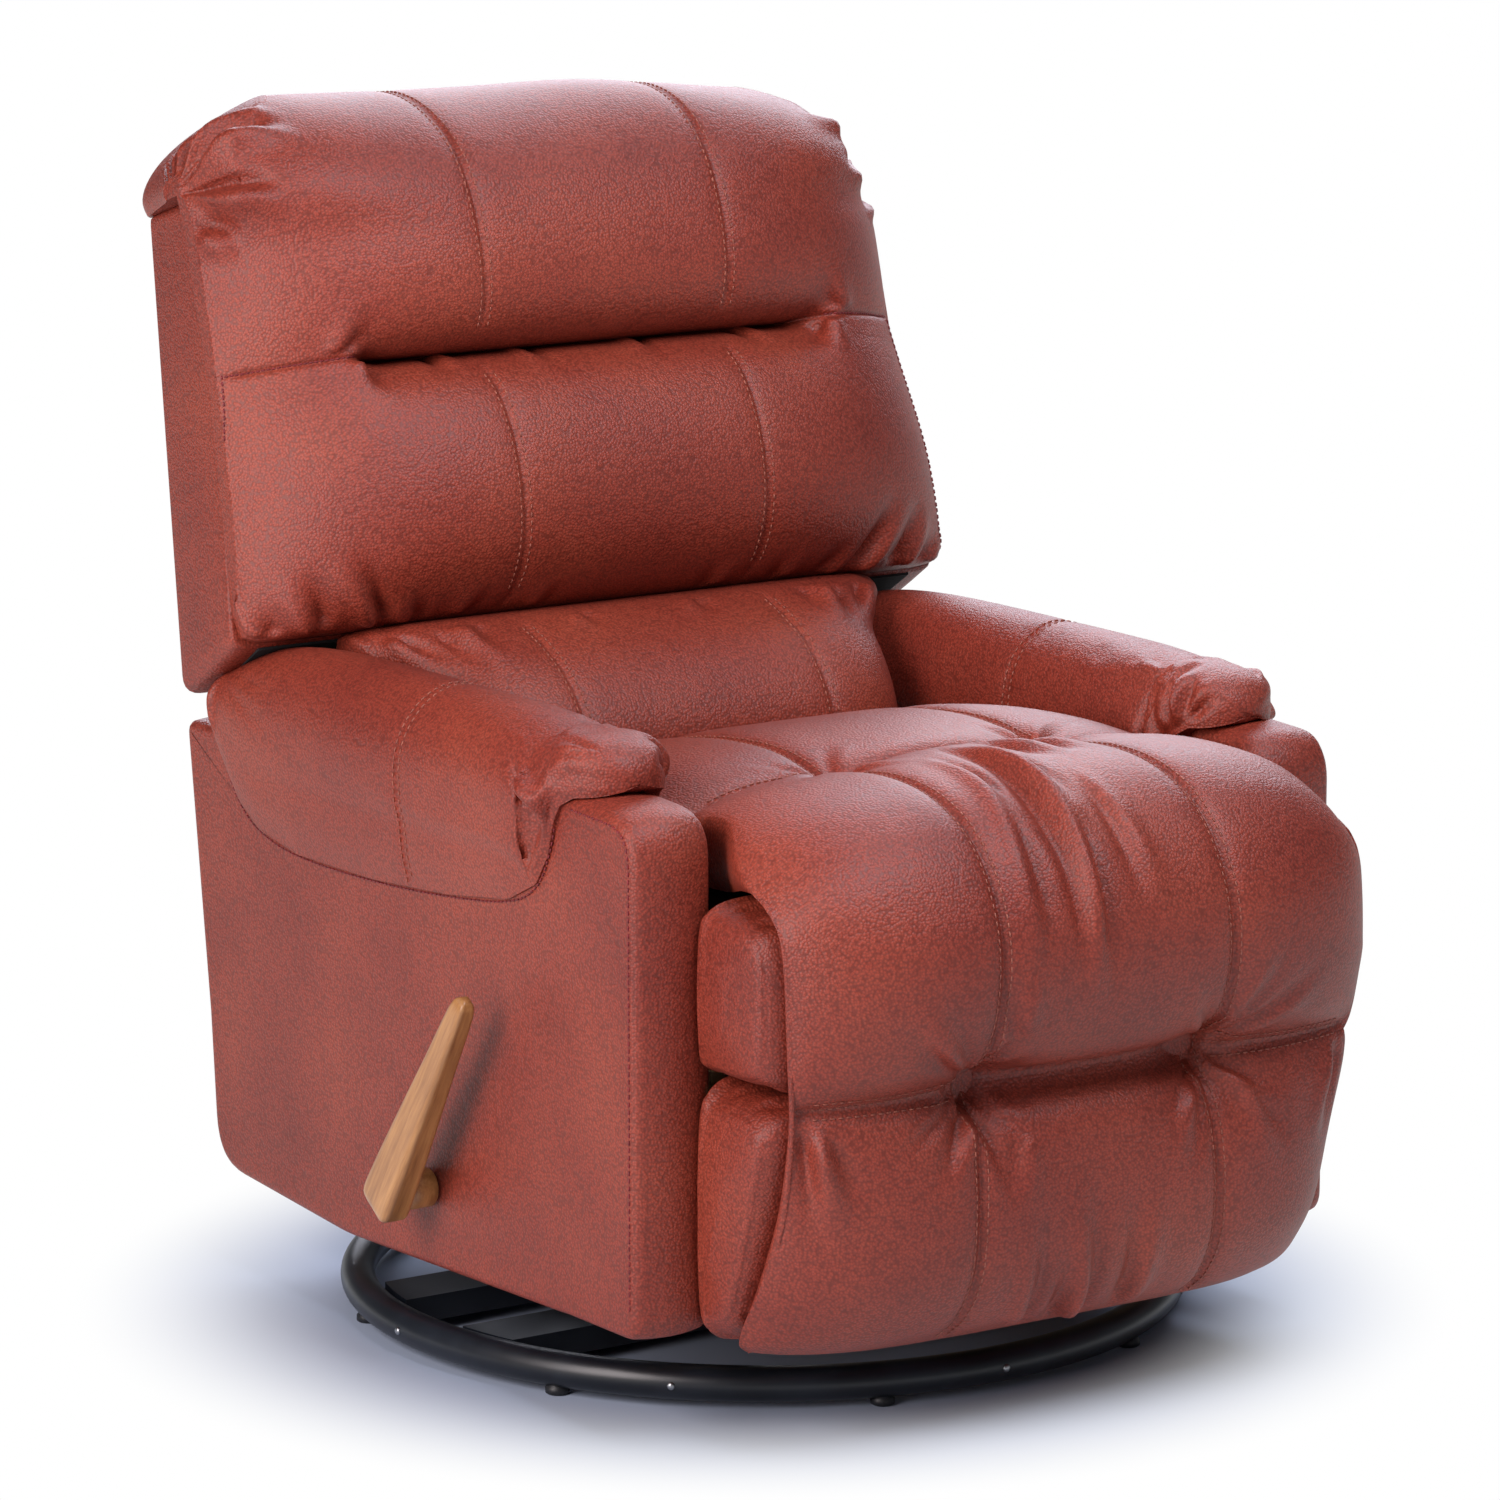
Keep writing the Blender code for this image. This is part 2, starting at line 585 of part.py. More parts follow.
# Seat: rails, springs, mechanism plates
for sign, word in ((-1, "right"), (1, "left")):
    rail = box(span(sign, RAIL_IN, RAIL_OUT), (RAIL_FRONT, RAIL_REAR), (RAIL_LOW, RAIL_TOP))
    solid("seat_rail_" + word, rail, PINE, "seat")
for y, word in ((RAIL_FRONT, "front"), (RAIL_REAR - 0.026, "rear")):
    rail = box((GAP - RAIL_IN, RAIL_IN - GAP), (y, y + 0.026), (RAIL_LOW, RAIL_TOP))
    solid("seat_rail_" + word, rail, PINE, "seat")


def spring(x):
    """A sinuous spring from the front rail to the rear rail, lying on both."""
    start, end = RAIL_FRONT + 0.006, RAIL_REAR - 0.006
    bends, steps = 9, 45
    path = []
    for i in range(steps + 1):
        t = i / steps
        path.append((x + 0.024 * math.sin(2 * math.pi * bends / 2 * t), start + (end - start) * t,
                     RAIL_TOP + GAP + WIRE))
    return sweep(path, WIRE, 5)


for x, word in ((-0.165, "right"), (0.0, "middle"), (0.165, "left")):
    solid("seat_spring_" + word, spring(x), ZINC, "seat")


def mechanism_plate(side, word):
    floor = TRACK_Z + SHEET + GAP
    py, pz = LINK_SEAT
    by, bz = BACK_PIVOT
    heel = floor + 0.0012
    head = RAIL_TOP - 0.010
    outline = [(RAIL_FRONT + 0.03, heel), (by - 0.03, heel), (by + 0.019, bz - 0.018),
               (by + 0.019, bz + 0.018), (by - 0.019, bz + 0.018), (by - 0.050, head), (py + 0.035, head),
               (py + 0.018, pz + 0.016), (py - 0.018, pz + 0.016), (py - 0.035, head),
               (RAIL_FRONT + 0.03, head - 0.020)]
    thick = 0.0035
    plate = prism(rounded(outline, 0.012), "x", *span(side, PLATE_X, PLATE_X + thick))
    obj = solid("mechanism_plate_" + word, plate, ZINC, "seat")
    shoe = (RAIL_FRONT + 0.034, by - 0.052)
    change(obj, box(span(side, PLATE_X + 0.001, PLATE_X + 0.030), shoe, (floor, floor + 0.003)), "UNION")
    for y in (0.02, 0.115):
        boss = span(side, RAIL_OUT + GAP, PLATE_X + 0.002)
        change(obj, rod("x", (y, RAIL_LOW + 0.022), 0.008, *boss, 16), "UNION")
    for pivot in (LINK_SEAT, BACK_PIVOT):
        change(obj, rod("x", pivot, STUD_R, *span(side, PLATE_X - 0.0125, PLATE_X + 0.002)), "UNION")


both(mechanism_plate)

# Seat cushion: flat under, tufted on top, its front edge folding over towards the chaise pad
ky, kz = KNEE
seat_low = RAIL_TOP + 2 * WIRE + 0.002
seat_outline = smooth([(0.150, seat_low, 1), (-0.318, seat_low, 1), (-0.323, kz - 0.058),
                       (-0.352, kz - 0.036), (ky + 0.0005, kz - 0.0005, 1), (-0.448, kz + 0.020),
                       (-0.400, kz + 0.033), (-0.33, kz + 0.036),
                       (-0.255, kz + 0.017), (-0.18, kz + 0.032), (-0.09, kz + 0.024), (0.0, kz + 0.004),
                       (0.050, kz - 0.028), (0.062, kz - 0.070), (0.085, kz - 0.115), (0.140, 0.365)], 2)


def seat_half(y, z):
    """Half width: narrow beside the links, wider above them, widest in front of the arms."""
    above = max(0.0, min(1.0, (z - 0.432) / 0.02))
    knee = max(0.0, min(1.0, (ARM_FRONT - 0.005 - y) / 0.04)) * max(0.0, min(1.0, (z - 0.440) / 0.03))
    side = RAIL_OUT - 0.006 + (SEAT_HALF - RAIL_OUT + 0.006) * above
    return side + (FRONT_HALF - SEAT_HALF) * knee


def seat_pull(x, y, z):
    top = 1.0 if z > kz else 0.0
    tuft = math.exp(-((abs(x) - 0.108) ** 2 + (y + 0.255) ** 2) / 0.026 ** 2)
    return top * (0.035 * groove(x, 0.108, 0.012) + 0.06 * tuft)


shape = pillow(seat_outline, (-0.15, 0.36), seat_half, 24, full(7), full(7), seat_pull)
solid("seat_cushion", loft(shape), LEATHER, "seat")

# Back: t runs up the outer back, n comes forward from it
lean = math.radians(TILT)


def up(t):
    """A drawn height along the back, carried to a back of this length."""
    return t * BACK_LEN / BACK_DRAWN


def back_point(t, n):
    return (BACK_Y + t * math.sin(lean) - n * math.cos(lean),
            BACK_Z + t * math.cos(lean) + n * math.sin(lean))


def back_box(x, t, n):
    """A box in the back's own directions."""
    corners = (t[0], n[0]), (t[1], n[0]), (t[1], n[1]), (t[0], n[1])
    return prism([back_point(a, b) for a, b in corners], "x", *x)


def back_slab(half, n0, n1, skew):
    """A tapered slab between two depths: rows of (t, half width, lift), skew lifts the front edge."""
    rings = []
    for t, w, lift in half:
        rings.append([(x, *back_point(t + (lift * skew if n == n1 else 0.0), n))
                      for x, n in ((-w, n0), (w, n0), (w, n1), (-w, n1))])
    return loft(rings)


def back_half(t):
    return BACK_LOW_HALF + (BACK_TOP_HALF - BACK_LOW_HALF) * t / BACK_LEN


outer = [(0.0, back_half(0.0), 1), (0.2, back_half(0.2), 0), (BACK_LEN, back_half(BACK_LEN), 0)]
cover = solid("back_cover", back_slab(outer, 0.0, BACK_DEPTH, 0.030), LEATHER, "back")
inner = [(-0.1, back_half(-0.1) - BACK_WALL, 0), (BACK_LEN - BACK_WALL, back_half(BACK_LEN) - BACK_WALL, 0)]
change(cover, back_slab(inner, BACK_WALL, BACK_DEPTH + 0.05, 0.0))
change(cover, back_box((-0.243, 0.243), (-0.195, 0.01), (0.0, BACK_WALL)), "UNION")

upright = (RAIL_IN, RAIL_OUT + 0.002)
depth = (BACK_WALL + GAP, BACK_DEPTH)
for sign, word in ((-1, "right"), (1, "left")):
    timber = back_box(span(sign, *upright), (-0.155, up(0.385)), depth)
    solid("back_upright_" + word, timber, PINE, "back")
for word, low, high in (("top", up(0.335), up(0.385)), ("low", -0.155, -0.115)):
    timber = back_box((GAP - RAIL_IN, RAIL_IN - GAP), (low, high), depth)
    solid(f"back_{word}_rail", timber, PINE, "back")


def back_bracket(side, word):
    by, bz = BACK_PIVOT
    outline = [(by - 0.015, bz - 0.012), (by + 0.012, bz - 0.016), (by + 0.018, bz + 0.004),
               back_point(-0.130, 0.034), back_point(-0.070, 0.037), back_point(-0.070, 0.077),
               back_point(-0.130, 0.080), (by - 0.018, bz + 0.008)]
    x = span(side, RAIL_OUT + 0.002 + GAP, RAIL_OUT + 0.0062)
    obj = solid("back_bracket_" + word, prism(rounded(outline, 0.010), "x", *x), ZINC, "back")
    change(obj, rod("x", BACK_PIVOT, STUD_R + RUN, *span(side, RAIL_OUT - 0.01, RAIL_OUT + 0.03)))


both(back_bracket)

rest = BACK_DEPTH + GAP


def back_roll(name, outline, centre, half, pull, rows=22):
    shape = pillow(smooth(outline, 2), centre, half, rows, full(16), swell(4, 0.12), pull)
    rings = [[(x, *back_point(t, n)) for x, t, n in ring] for ring in shape]
    solid(name, loft(rings, back_point(*centre)), LEATHER, "back")


def roll_pull(x, t, n):
    return 0.05 * groove(x, 0.125, 0.014) if n > rest + 0.05 else 0.0


def head_half(t, n):
    return 0.345 - 0.045 * max(0.0, (t - up(0.35)) / up(0.14)) ** 2


head = [(0.268, 0.160), (0.298, 0.204), (0.345, 0.222), (0.400, 0.213), (0.445, 0.183), (0.479, 0.134),
        (0.494, 0.072), (0.488, 0.022), (0.466, -0.010), (0.432, -0.014)]
mid = [(0.250, 0.166), (0.224, 0.206), (0.180, 0.226), (0.130, 0.228), (0.083, 0.214), (0.050, 0.182),
       (0.035, 0.144)]
back_roll("head_roll", [(up(0.262), rest, 1)] + [(up(t), n) for t, n in head]
          + [(BACK_LEN + GAP, -0.004, 1), (BACK_LEN + GAP, rest, 1)],
          (BACK_LEN + 0.012, rest), head_half, roll_pull)
back_roll("mid_roll", [(up(0.034), rest, 1), (up(0.258), rest, 1)] + [(up(t), n) for t, n in mid],
          (up(0.150), rest), lambda t, n: 0.364 - 0.016 * t / up(0.26), roll_pull)
back_roll("lumbar_roll", [(-0.145, rest, 1), (up(0.030), rest, 1), (up(0.020), 0.172), (-0.010, 0.226),
                          (-0.050, 0.258), (-0.090, 0.270), (-0.124, 0.262), (-0.150, 0.236),
                          (-0.166, 0.182), (-0.162, 0.130)],
          (-0.062, rest), lambda t, n: LUMBAR_HALF, roll_pull, 20)

# Footrest: boards, brackets, padded ears and the chaise pad in front of them
board = (EAR_REAR + GAP, EAR_REAR + GAP + BOARD)
board_rows = ("lower", EAR_LOW + 0.014, EAR_SPLIT - 0.012), ("upper", EAR_SPLIT + 0.012, EAR_TOP - 0.014)
for word, low, high in board_rows:
    solid("footrest_board_" + word, box((-BOARD_HALF, BOARD_HALF), board, (low, high)), PINE, "footrest")


def footrest_bracket(side, word):
    y0 = board[1] + GAP
    qy, qz = LINK_FOOT
    inner, outer = RAIL_OUT - 0.022, RAIL_OUT
    strap = box(span(side, inner, outer), (y0, y0 + 0.003), (EAR_LOW + 0.05, EAR_TOP - 0.03))
    obj = solid("footrest_bracket_" + word, strap, ZINC, "footrest")
    ear = rounded([(y0 + 0.001, qz - 0.030), (qy + 0.010, qz - 0.016), (qy + 0.014, qz),
                   (qy + 0.010, qz + 0.016), (y0 + 0.001, qz + 0.030)], 0.006)
    change(obj, prism(ear, "x", *span(side, outer - 0.003, outer)), "UNION")
    change(obj, rod("x", LINK_FOOT, STUD_R - 0.001, *span(side, outer - 0.002, PLATE_X - 0.002)), "UNION")


both(footrest_bracket)


def ear_front(z):
    """Front of the ears: upright, then drawing back towards the foot of the lower one."""
    knee_z = EAR_SPLIT - 0.030
    return EAR_FRONT + EAR_TUCK * max(0.0, (knee_z - z) / (knee_z - EAR_LOW))


def ear_pad(low, high):
    """A padded board: flat behind, crowned in front, with drawn-in ends."""
    mid = (low + high) / 2
    outline = smooth([(EAR_REAR, low + 0.006), (EAR_REAR, high - 0.006), (EAR_REAR - 0.02, high),
                      (EAR_FRONT + 0.014, high - 0.002), (EAR_FRONT, high - 0.020),
                      (ear_front(mid), mid), (ear_front(low + 0.020), low + 0.020),
                      (ear_front(low) + 0.014, low + 0.002), (EAR_REAR - 0.012, low)], 2)
    outline = [(max(ear_front(z), min(EAR_REAR, y)), max(low, min(high, z))) for y, z in outline]
    return loft(pillow(outline, (EAR_REAR, mid), lambda y, z: EAR_HALF, 14, full(9), full(9)))


solid("ear_pad_upper", ear_pad(EAR_SPLIT + 0.003, EAR_TOP), LEATHER, "footrest")
solid("ear_pad_lower", ear_pad(EAR_LOW, EAR_SPLIT - 0.003), LEATHER, "footrest")

# Chaise pad: depth in front of the ears, height
chaise = smooth([(0.0, kz - 0.0165, 1), (ear_front(kz) - ky, kz - 0.002, 1), (0.054, 0.466), (0.071, 0.425),
                 (0.072, 0.375), (0.056, 0.325), (0.030, 0.288), (0.048, 0.250), (0.070, 0.200),
                 (0.082, 0.145), (0.072, 0.100), (0.040, 0.080), (0.0, 0.079, 1),
                 (0.0, EAR_SPLIT - 0.030, 1)], 2)


def chaise_half(d, z):
    return 0.274 + 0.006 * max(0.0, min(1.0, (z - 0.44) / 0.05))


def chaise_pull(x, d, z):
    if d < 0.004:
        return 0.0
    tuft = math.exp(-((abs(x) - 0.113) ** 2 + (z - 0.290) ** 2) / 0.03 ** 2)
    return 0.05 * groove(x, 0.113, 0.014) + 0.22 * tuft


shape = pillow(chaise, (0.0, 0.285), chaise_half, 24, swell(5, 0.30), full(14), chaise_pull)
solid("chaise_pad", loft([[(x, ear_front(z) - 0.0005 - d, z) for x, d, z in ring] for ring in shape]),
      LEATHER, "footrest")


def footrest_link(side, word):
    """Swing link on the mechanism plate and tie to the footrest bracket: a parallelogram about the knee."""
    elbow = (LINK_SEAT[0] + LINK_FOOT[0] - ky, LINK_SEAT[1] + LINK_FOOT[1] - kz)
    inner, outer = (RAIL_OUT + 0.0022, RAIL_OUT + 0.0062), (RAIL_OUT + 0.0072, RAIL_OUT + 0.0112)
    link = solid("footrest_link_" + word, prism(slot(LINK_SEAT, elbow, 0.011), "x", *span(side, *inner)),
                 ZINC, "footrest_links")
    change(link, rod("x", LINK_SEAT, STUD_R + RUN, *span(side, inner[0] - 0.01, inner[1] + 0.01)))
    change(link, rod("x", elbow, STUD_R - 0.001, *span(side, inner[1] - 0.002, outer[1] + 0.0015)), "UNION")
    tie = solid("footrest_tie_" + word, prism(slot(elbow, LINK_FOOT, 0.010), "x", *span(side, *outer)),
                ZINC, "footrest_ties")
    for pivot, slack in ((LINK_FOOT, RUN), (elbow, 0.0004)):
        change(tie, rod("x", pivot, STUD_R - 0.001 + slack, *span(side, outer[0] - 0.01, outer[1] + 0.01)))


both(footrest_link)
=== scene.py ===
# %% [markdown]
# A leather swivel glider recliner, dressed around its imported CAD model.
# The frame loads first and never moves. Everything below is drawn in the chair's own coordinates, in metres:
# the sitter faces -Y, their right hand is at -X and +Z is up. The chair's mid-plane is moved to the shared frame
# by SHIFT, which is read from the ring base.

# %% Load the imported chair
import json
import math
import bmesh
import bpy
import numpy as np
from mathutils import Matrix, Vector


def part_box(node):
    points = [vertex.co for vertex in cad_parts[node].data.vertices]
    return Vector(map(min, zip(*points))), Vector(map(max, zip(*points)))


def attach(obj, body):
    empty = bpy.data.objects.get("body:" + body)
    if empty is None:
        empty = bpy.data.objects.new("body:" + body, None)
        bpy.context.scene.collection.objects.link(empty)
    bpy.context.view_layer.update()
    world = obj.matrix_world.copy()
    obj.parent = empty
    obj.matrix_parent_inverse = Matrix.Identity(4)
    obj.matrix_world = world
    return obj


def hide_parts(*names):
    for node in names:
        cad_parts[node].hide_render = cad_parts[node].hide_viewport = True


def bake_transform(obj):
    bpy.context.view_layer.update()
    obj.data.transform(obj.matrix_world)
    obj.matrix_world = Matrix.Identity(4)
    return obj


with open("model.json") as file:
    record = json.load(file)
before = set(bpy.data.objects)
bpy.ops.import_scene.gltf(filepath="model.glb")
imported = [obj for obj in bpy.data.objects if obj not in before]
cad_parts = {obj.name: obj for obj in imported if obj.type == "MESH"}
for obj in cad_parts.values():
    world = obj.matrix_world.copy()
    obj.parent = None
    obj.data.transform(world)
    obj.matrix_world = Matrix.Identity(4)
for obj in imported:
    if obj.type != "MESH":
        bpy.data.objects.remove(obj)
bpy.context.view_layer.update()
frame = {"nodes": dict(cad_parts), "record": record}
ring_low, ring_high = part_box("base_ring")
SHIFT = np.array([(ring_low[0] + ring_high[0]) / 2, (ring_low[1] + ring_high[1]) / 2, 0.0])
print("loaded", len(frame["nodes"]), "nodes, mid-plane at", SHIFT.round(4))

# %% [markdown]
# The camera stands where the photographer stood: turned to the chair's right front, a little above the seat and
# far back with a long lens, so that the ring looks flat and the two arms are nearly the same size.

# %% Camera
AZIMUTH, ELEVATION, DISTANCE = math.radians(-33.49), math.radians(11.51), 5.725
LENS, SENSOR = 161.67, 36.0
target = Vector(SHIFT) + Vector((-0.014, 0.0, 0.478))
backward = Vector((math.sin(AZIMUTH) * math.cos(ELEVATION), -math.cos(AZIMUTH) * math.cos(ELEVATION),
                   math.sin(ELEVATION)))
camera = bpy.data.objects.new("camera", bpy.data.cameras.new("camera"))
bpy.context.scene.collection.objects.link(camera)
camera.data.lens, camera.data.sensor_width = LENS, SENSOR
camera.location = target + backward * DISTANCE
camera.rotation_euler = backward.to_track_quat("Z", "Y").to_euler()
camera.data.clip_end = 60.0
bpy.context.scene.camera = camera
bpy.context.scene.view_settings.view_transform = "Standard"
print("camera at", [round(c, 3) for c in camera.location])

# %% [markdown]
# Colours are written as they look on a screen, in sRGB hex, and one function turns them into the linear numbers
# that a shader works with. Another small function adds a shader node with its settings, and feeds its inputs with
# numbers or with links from other nodes.

# %% Helpers for materials


def linear(colour):
    """A hex colour such as #913725 as linear red, green, blue, alpha."""
    parts = [int(colour[i:i + 2], 16) / 255 for i in (1, 3, 5)]
    return (*[c / 12.92 if c <= 0.04045 else ((c + 0.055) / 1.055) ** 2.4 for c in parts], 1.0)


def feed(node, inputs):
    """Gives a node's inputs what they need: a socket is linked, anything else is set as a constant."""
    for name, value in inputs.items():
        if isinstance(value, bpy.types.NodeSocket):
            node.id_data.links.new(value, node.inputs[name])
        else:
            node.inputs[name].default_value = value


def add(tree, kind, inputs=None, stops=(), **settings):
    """One shader node: settings are its own properties, inputs are numbers or sockets to link, and stops are the
    (place, hex colour) pairs of a colour ramp."""
    node = tree.nodes.new("ShaderNode" + kind)
    for name, value in settings.items():
        setattr(node, name, value)
    feed(node, inputs or {})
    for k, (place, colour) in enumerate(stops):
        line = node.color_ramp.elements
        stop = line[k] if k < len(line) else line.new(place)
        stop.position, stop.color = place, linear(colour)
    return node


def material(name):
    """A new material with its Principled shader and the object's own coordinates."""
    made = bpy.data.materials.new(name)
    made.use_nodes = True
    tree = made.node_tree
    return made, tree, tree.nodes["Principled BSDF"], add(tree, "TexCoord").outputs["Object"]


MM = 0.001
print("rust leather in linear light:", [round(c, 3) for c in linear("#913725")[:3]])

# %% [markdown]
# The cover is corrected-grain upholstery leather: the hide is sanded, sprayed with pigment and embossed with a fine
# pebble, then lacquered semi-matt. To the eye that is one rust colour with slow clouding, small round pebbles that
# break the highlight, and a soft pale gleam where it turns away. Real pebbles are about 1.2 mm; they are drawn at
# 2.4 mm, the smallest that still shows at this distance.

# %% Embossed leather
PEBBLE, CLOUD, MOTTLE = 2.4 * MM, 170 * MM, 7 * MM


def embossed_leather(name, deep, body, worn, rough):
    """A pigmented hide that clouds slowly from deep to worn, with darker cracks between its pebbles."""
    made, tree, shader, where = material(name)
    cloud = add(tree, "TexNoise", {"Vector": where, "Scale": 1 / CLOUD, "Detail": 3.0, "Roughness": 0.55})
    fine = add(tree, "TexNoise", {"Vector": where, "Scale": 1 / MOTTLE, "Detail": 2.0})
    blend = add(tree, "Math", {0: cloud.outputs["Fac"], 1: 0.72}, operation="MULTIPLY")
    both = add(tree, "Math", {0: fine.outputs["Fac"], 1: 0.28, 2: blend.outputs[0]}, operation="MULTIPLY_ADD")
    colour = add(tree, "ValToRGB", {"Fac": both.outputs[0]}, ((0.30, deep), (0.50, body), (0.72, worn)))
    cells = add(tree, "TexVoronoi", {"Vector": where, "Scale": 1 / PEBBLE, "Randomness": 0.9})
    crack = add(tree, "MapRange", {"Value": cells.outputs["Distance"], "From Min": 0.15, "From Max": 0.75,
                                   "To Min": 1.0, "To Max": 0.0})
    grain = add(tree, "MixRGB", {"Fac": 0.50, "Color1": colour.outputs["Color"], "Color2": crack.outputs[0]},
                blend_type="MULTIPLY")
    gloss = add(tree, "MapRange", {"Value": fine.outputs["Fac"], "To Min": rough - 0.06, "To Max": rough + 0.06})
    height = add(tree, "Math", {0: crack.outputs[0], 1: 0.75, 2: fine.outputs["Fac"]}, operation="MULTIPLY_ADD")
    bump = add(tree, "Bump", {"Height": height.outputs[0], "Strength": 0.80, "Distance": 0.6 * MM})
    feed(shader, {"Base Color": grain.outputs["Color"], "Roughness": gloss.outputs[0],
                  "Normal": bump.outputs["Normal"], "IOR": 1.5, "Specular IOR Level": 0.42,
                  "Coat Weight": 0.04, "Coat Roughness": 0.45})
    return made


leather = embossed_leather("rust_leather", "#802b1d", "#913725", "#9f432d", 0.50)
print("leather pebble", PEBBLE, "m")

# %% [markdown]
# Upholstery thread is bonded polyester, twisted and waxed. It looks matt, and its twist gives two tones that change
# every few millimetres. One thread is a little lighter than the leather, one is dark red.

# %% Bonded thread


def bonded_thread(name, colour, shade):
    made, tree, shader, where = material(name)
    twist = add(tree, "TexNoise", {"Vector": where, "Scale": 1 / (3 * MM)})
    tone = add(tree, "ValToRGB", {"Fac": twist.outputs["Fac"]}, ((0.35, shade), (0.65, colour)))
    feed(shader, {"Base Color": tone.outputs["Color"], "Roughness": 0.55})
    return made


rust_thread = bonded_thread("rust_thread", "#9a5744", "#783c2e")
red_thread = bonded_thread("dark_red_thread", "#7d1d22", "#5c1119")
print("threads:", rust_thread.name, red_thread.name)

# %% [markdown]
# The ring and the stampings are black powder coat, paint that is baked until it flows and keeps a fine orange-peel
# skin. The links are zinc plated: bright grey metal with faint streaks from the rolling mill.

# %% Powder coat and zinc plate


def powder_coat(name, colour, dusty, rough):
    """Baked powder paint: an orange-peel skin about 2 mm from dip to dip, a little dusty in places."""
    made, tree, shader, where = material(name)
    peel = add(tree, "TexNoise", {"Vector": where, "Scale": 1 / (2 * MM), "Detail": 2.0})
    dust = add(tree, "TexNoise", {"Vector": where, "Scale": 1 / (60 * MM), "Detail": 4.0})
    tone = add(tree, "ValToRGB", {"Fac": dust.outputs["Fac"]}, ((0.4, colour), (0.75, dusty)))
    gloss = add(tree, "MapRange", {"Value": dust.outputs["Fac"], "To Min": rough - 0.05, "To Max": rough + 0.08})
    bump = add(tree, "Bump", {"Height": peel.outputs["Fac"], "Strength": 0.15, "Distance": 0.3 * MM})
    feed(shader, {"Base Color": tone.outputs["Color"], "Roughness": gloss.outputs[0],
                  "Normal": bump.outputs["Normal"]})
    return made


def zinc_plate(name):
    """Bright zinc on rolled steel: grey metal with faint rolling streaks 3 mm apart."""
    made, tree, shader, where = material(name)
    streak = add(tree, "Mapping", {"Vector": where, "Scale": (1.0, 0.12, 1.0)})
    rolled = add(tree, "TexNoise", {"Vector": streak.outputs[0], "Scale": 1 / (3 * MM), "Detail": 3.0})
    tone = add(tree, "ValToRGB", {"Fac": rolled.outputs["Fac"]}, ((0.3, "#9a9da0"), (0.7, "#bcbfc2")))
    gloss = add(tree, "MapRange", {"Value": rolled.outputs["Fac"], "To Min": 0.28, "To Max": 0.46})
    feed(shader, {"Base Color": tone.outputs["Color"], "Roughness": gloss.outputs[0], "Metallic": 1.0})
    return made


black_steel = powder_coat("black_powder_coat", "#0d1118", "#1a2029", 0.36)
zinc_steel = zinc_plate("zinc_plated_steel")
print("metals:", black_steel.name, zinc_steel.name)

# %% [markdown]
# The frame inside is sawn pine and plywood, pale and open. The lever is oak, sawn to a taper along its grain, sanded
# and lacquered satin, so fine lines run along the bar and it has a soft clear gleam.

# %% Pine and oak
LEVER, LEVER_TIP = (-0.030, 0.152), (-0.156, 0.342)     # y, z of the lever's hub and of its tip


def sawn_pine(name, pale, dark):
    """Sawn softwood: year rings about 6 mm apart, cut along the board, with a rough open surface."""
    made, tree, shader, where = material(name)
    board = add(tree, "Mapping", {"Vector": where, "Scale": (0.12, 0.12, 1.0)})
    rings = add(tree, "TexWave", {"Vector": board.outputs[0], "Scale": 1 / (20 * 6 * MM), "Distortion": 6.0,
                                  "Detail": 3.0}, wave_type="RINGS")
    tone = add(tree, "ValToRGB", {"Fac": rings.outputs["Fac"]}, ((0.25, pale), (0.9, dark)))
    bump = add(tree, "Bump", {"Height": rings.outputs["Fac"], "Strength": 0.2, "Distance": 0.4 * MM})
    feed(shader, {"Base Color": tone.outputs["Color"], "Normal": bump.outputs["Normal"], "Roughness": 0.75})
    return made


def lacquered_oak(name):
    """Sawn and sanded oak under a satin lacquer: grain lines 2 to 3 mm apart run along the lever."""
    made, tree, shader, where = material(name)
    lean = math.atan2(LEVER_TIP[1] - LEVER[1], LEVER_TIP[0] - LEVER[0])
    along = add(tree, "Mapping", {"Vector": where, "Rotation": (-lean, 0.0, 0.0)})
    stretch = add(tree, "Mapping", {"Vector": along.outputs[0], "Scale": (1.0, 0.07, 1.0)})
    grain = add(tree, "TexNoise", {"Vector": stretch.outputs[0], "Scale": 1 / (2.5 * MM), "Detail": 4.0,
                                   "Roughness": 0.6})
    tone = add(tree, "TexNoise", {"Vector": stretch.outputs[0], "Scale": 1 / (14 * MM), "Detail": 2.0})
    mixed = add(tree, "Math", {0: grain.outputs["Fac"], 1: 0.6, 2: tone.outputs["Fac"]}, operation="MULTIPLY_ADD")
    half = add(tree, "Math", {0: mixed.outputs[0], 1: 0.625}, operation="MULTIPLY")
    colour = add(tree, "ValToRGB", {"Fac": half.outputs[0]},
                 ((0.36, "#7c5028"), (0.5, "#9a6a3a"), (0.64, "#b4824b")))
    bump = add(tree, "Bump", {"Height": grain.outputs["Fac"], "Strength": 0.12, "Distance": 0.3 * MM})
    feed(shader, {"Base Color": colour.outputs["Color"], "Normal": bump.outputs["Normal"], "Roughness": 0.42,
                  "Coat Weight": 0.35, "Coat Roughness": 0.25})
    return made


pine = sawn_pine("sawn_pine", "#d2b182", "#b08a58")
oak = lacquered_oak("lacquered_oak")
print("woods:", pine.name, oak.name)

# %% [markdown]
# The bush and the glides are moulded nylon, nearly black with a dull skin. A felt-like black cloth wraps the seat's
# foam and closes the outer back from below.

# %% Nylon and bottom cloth


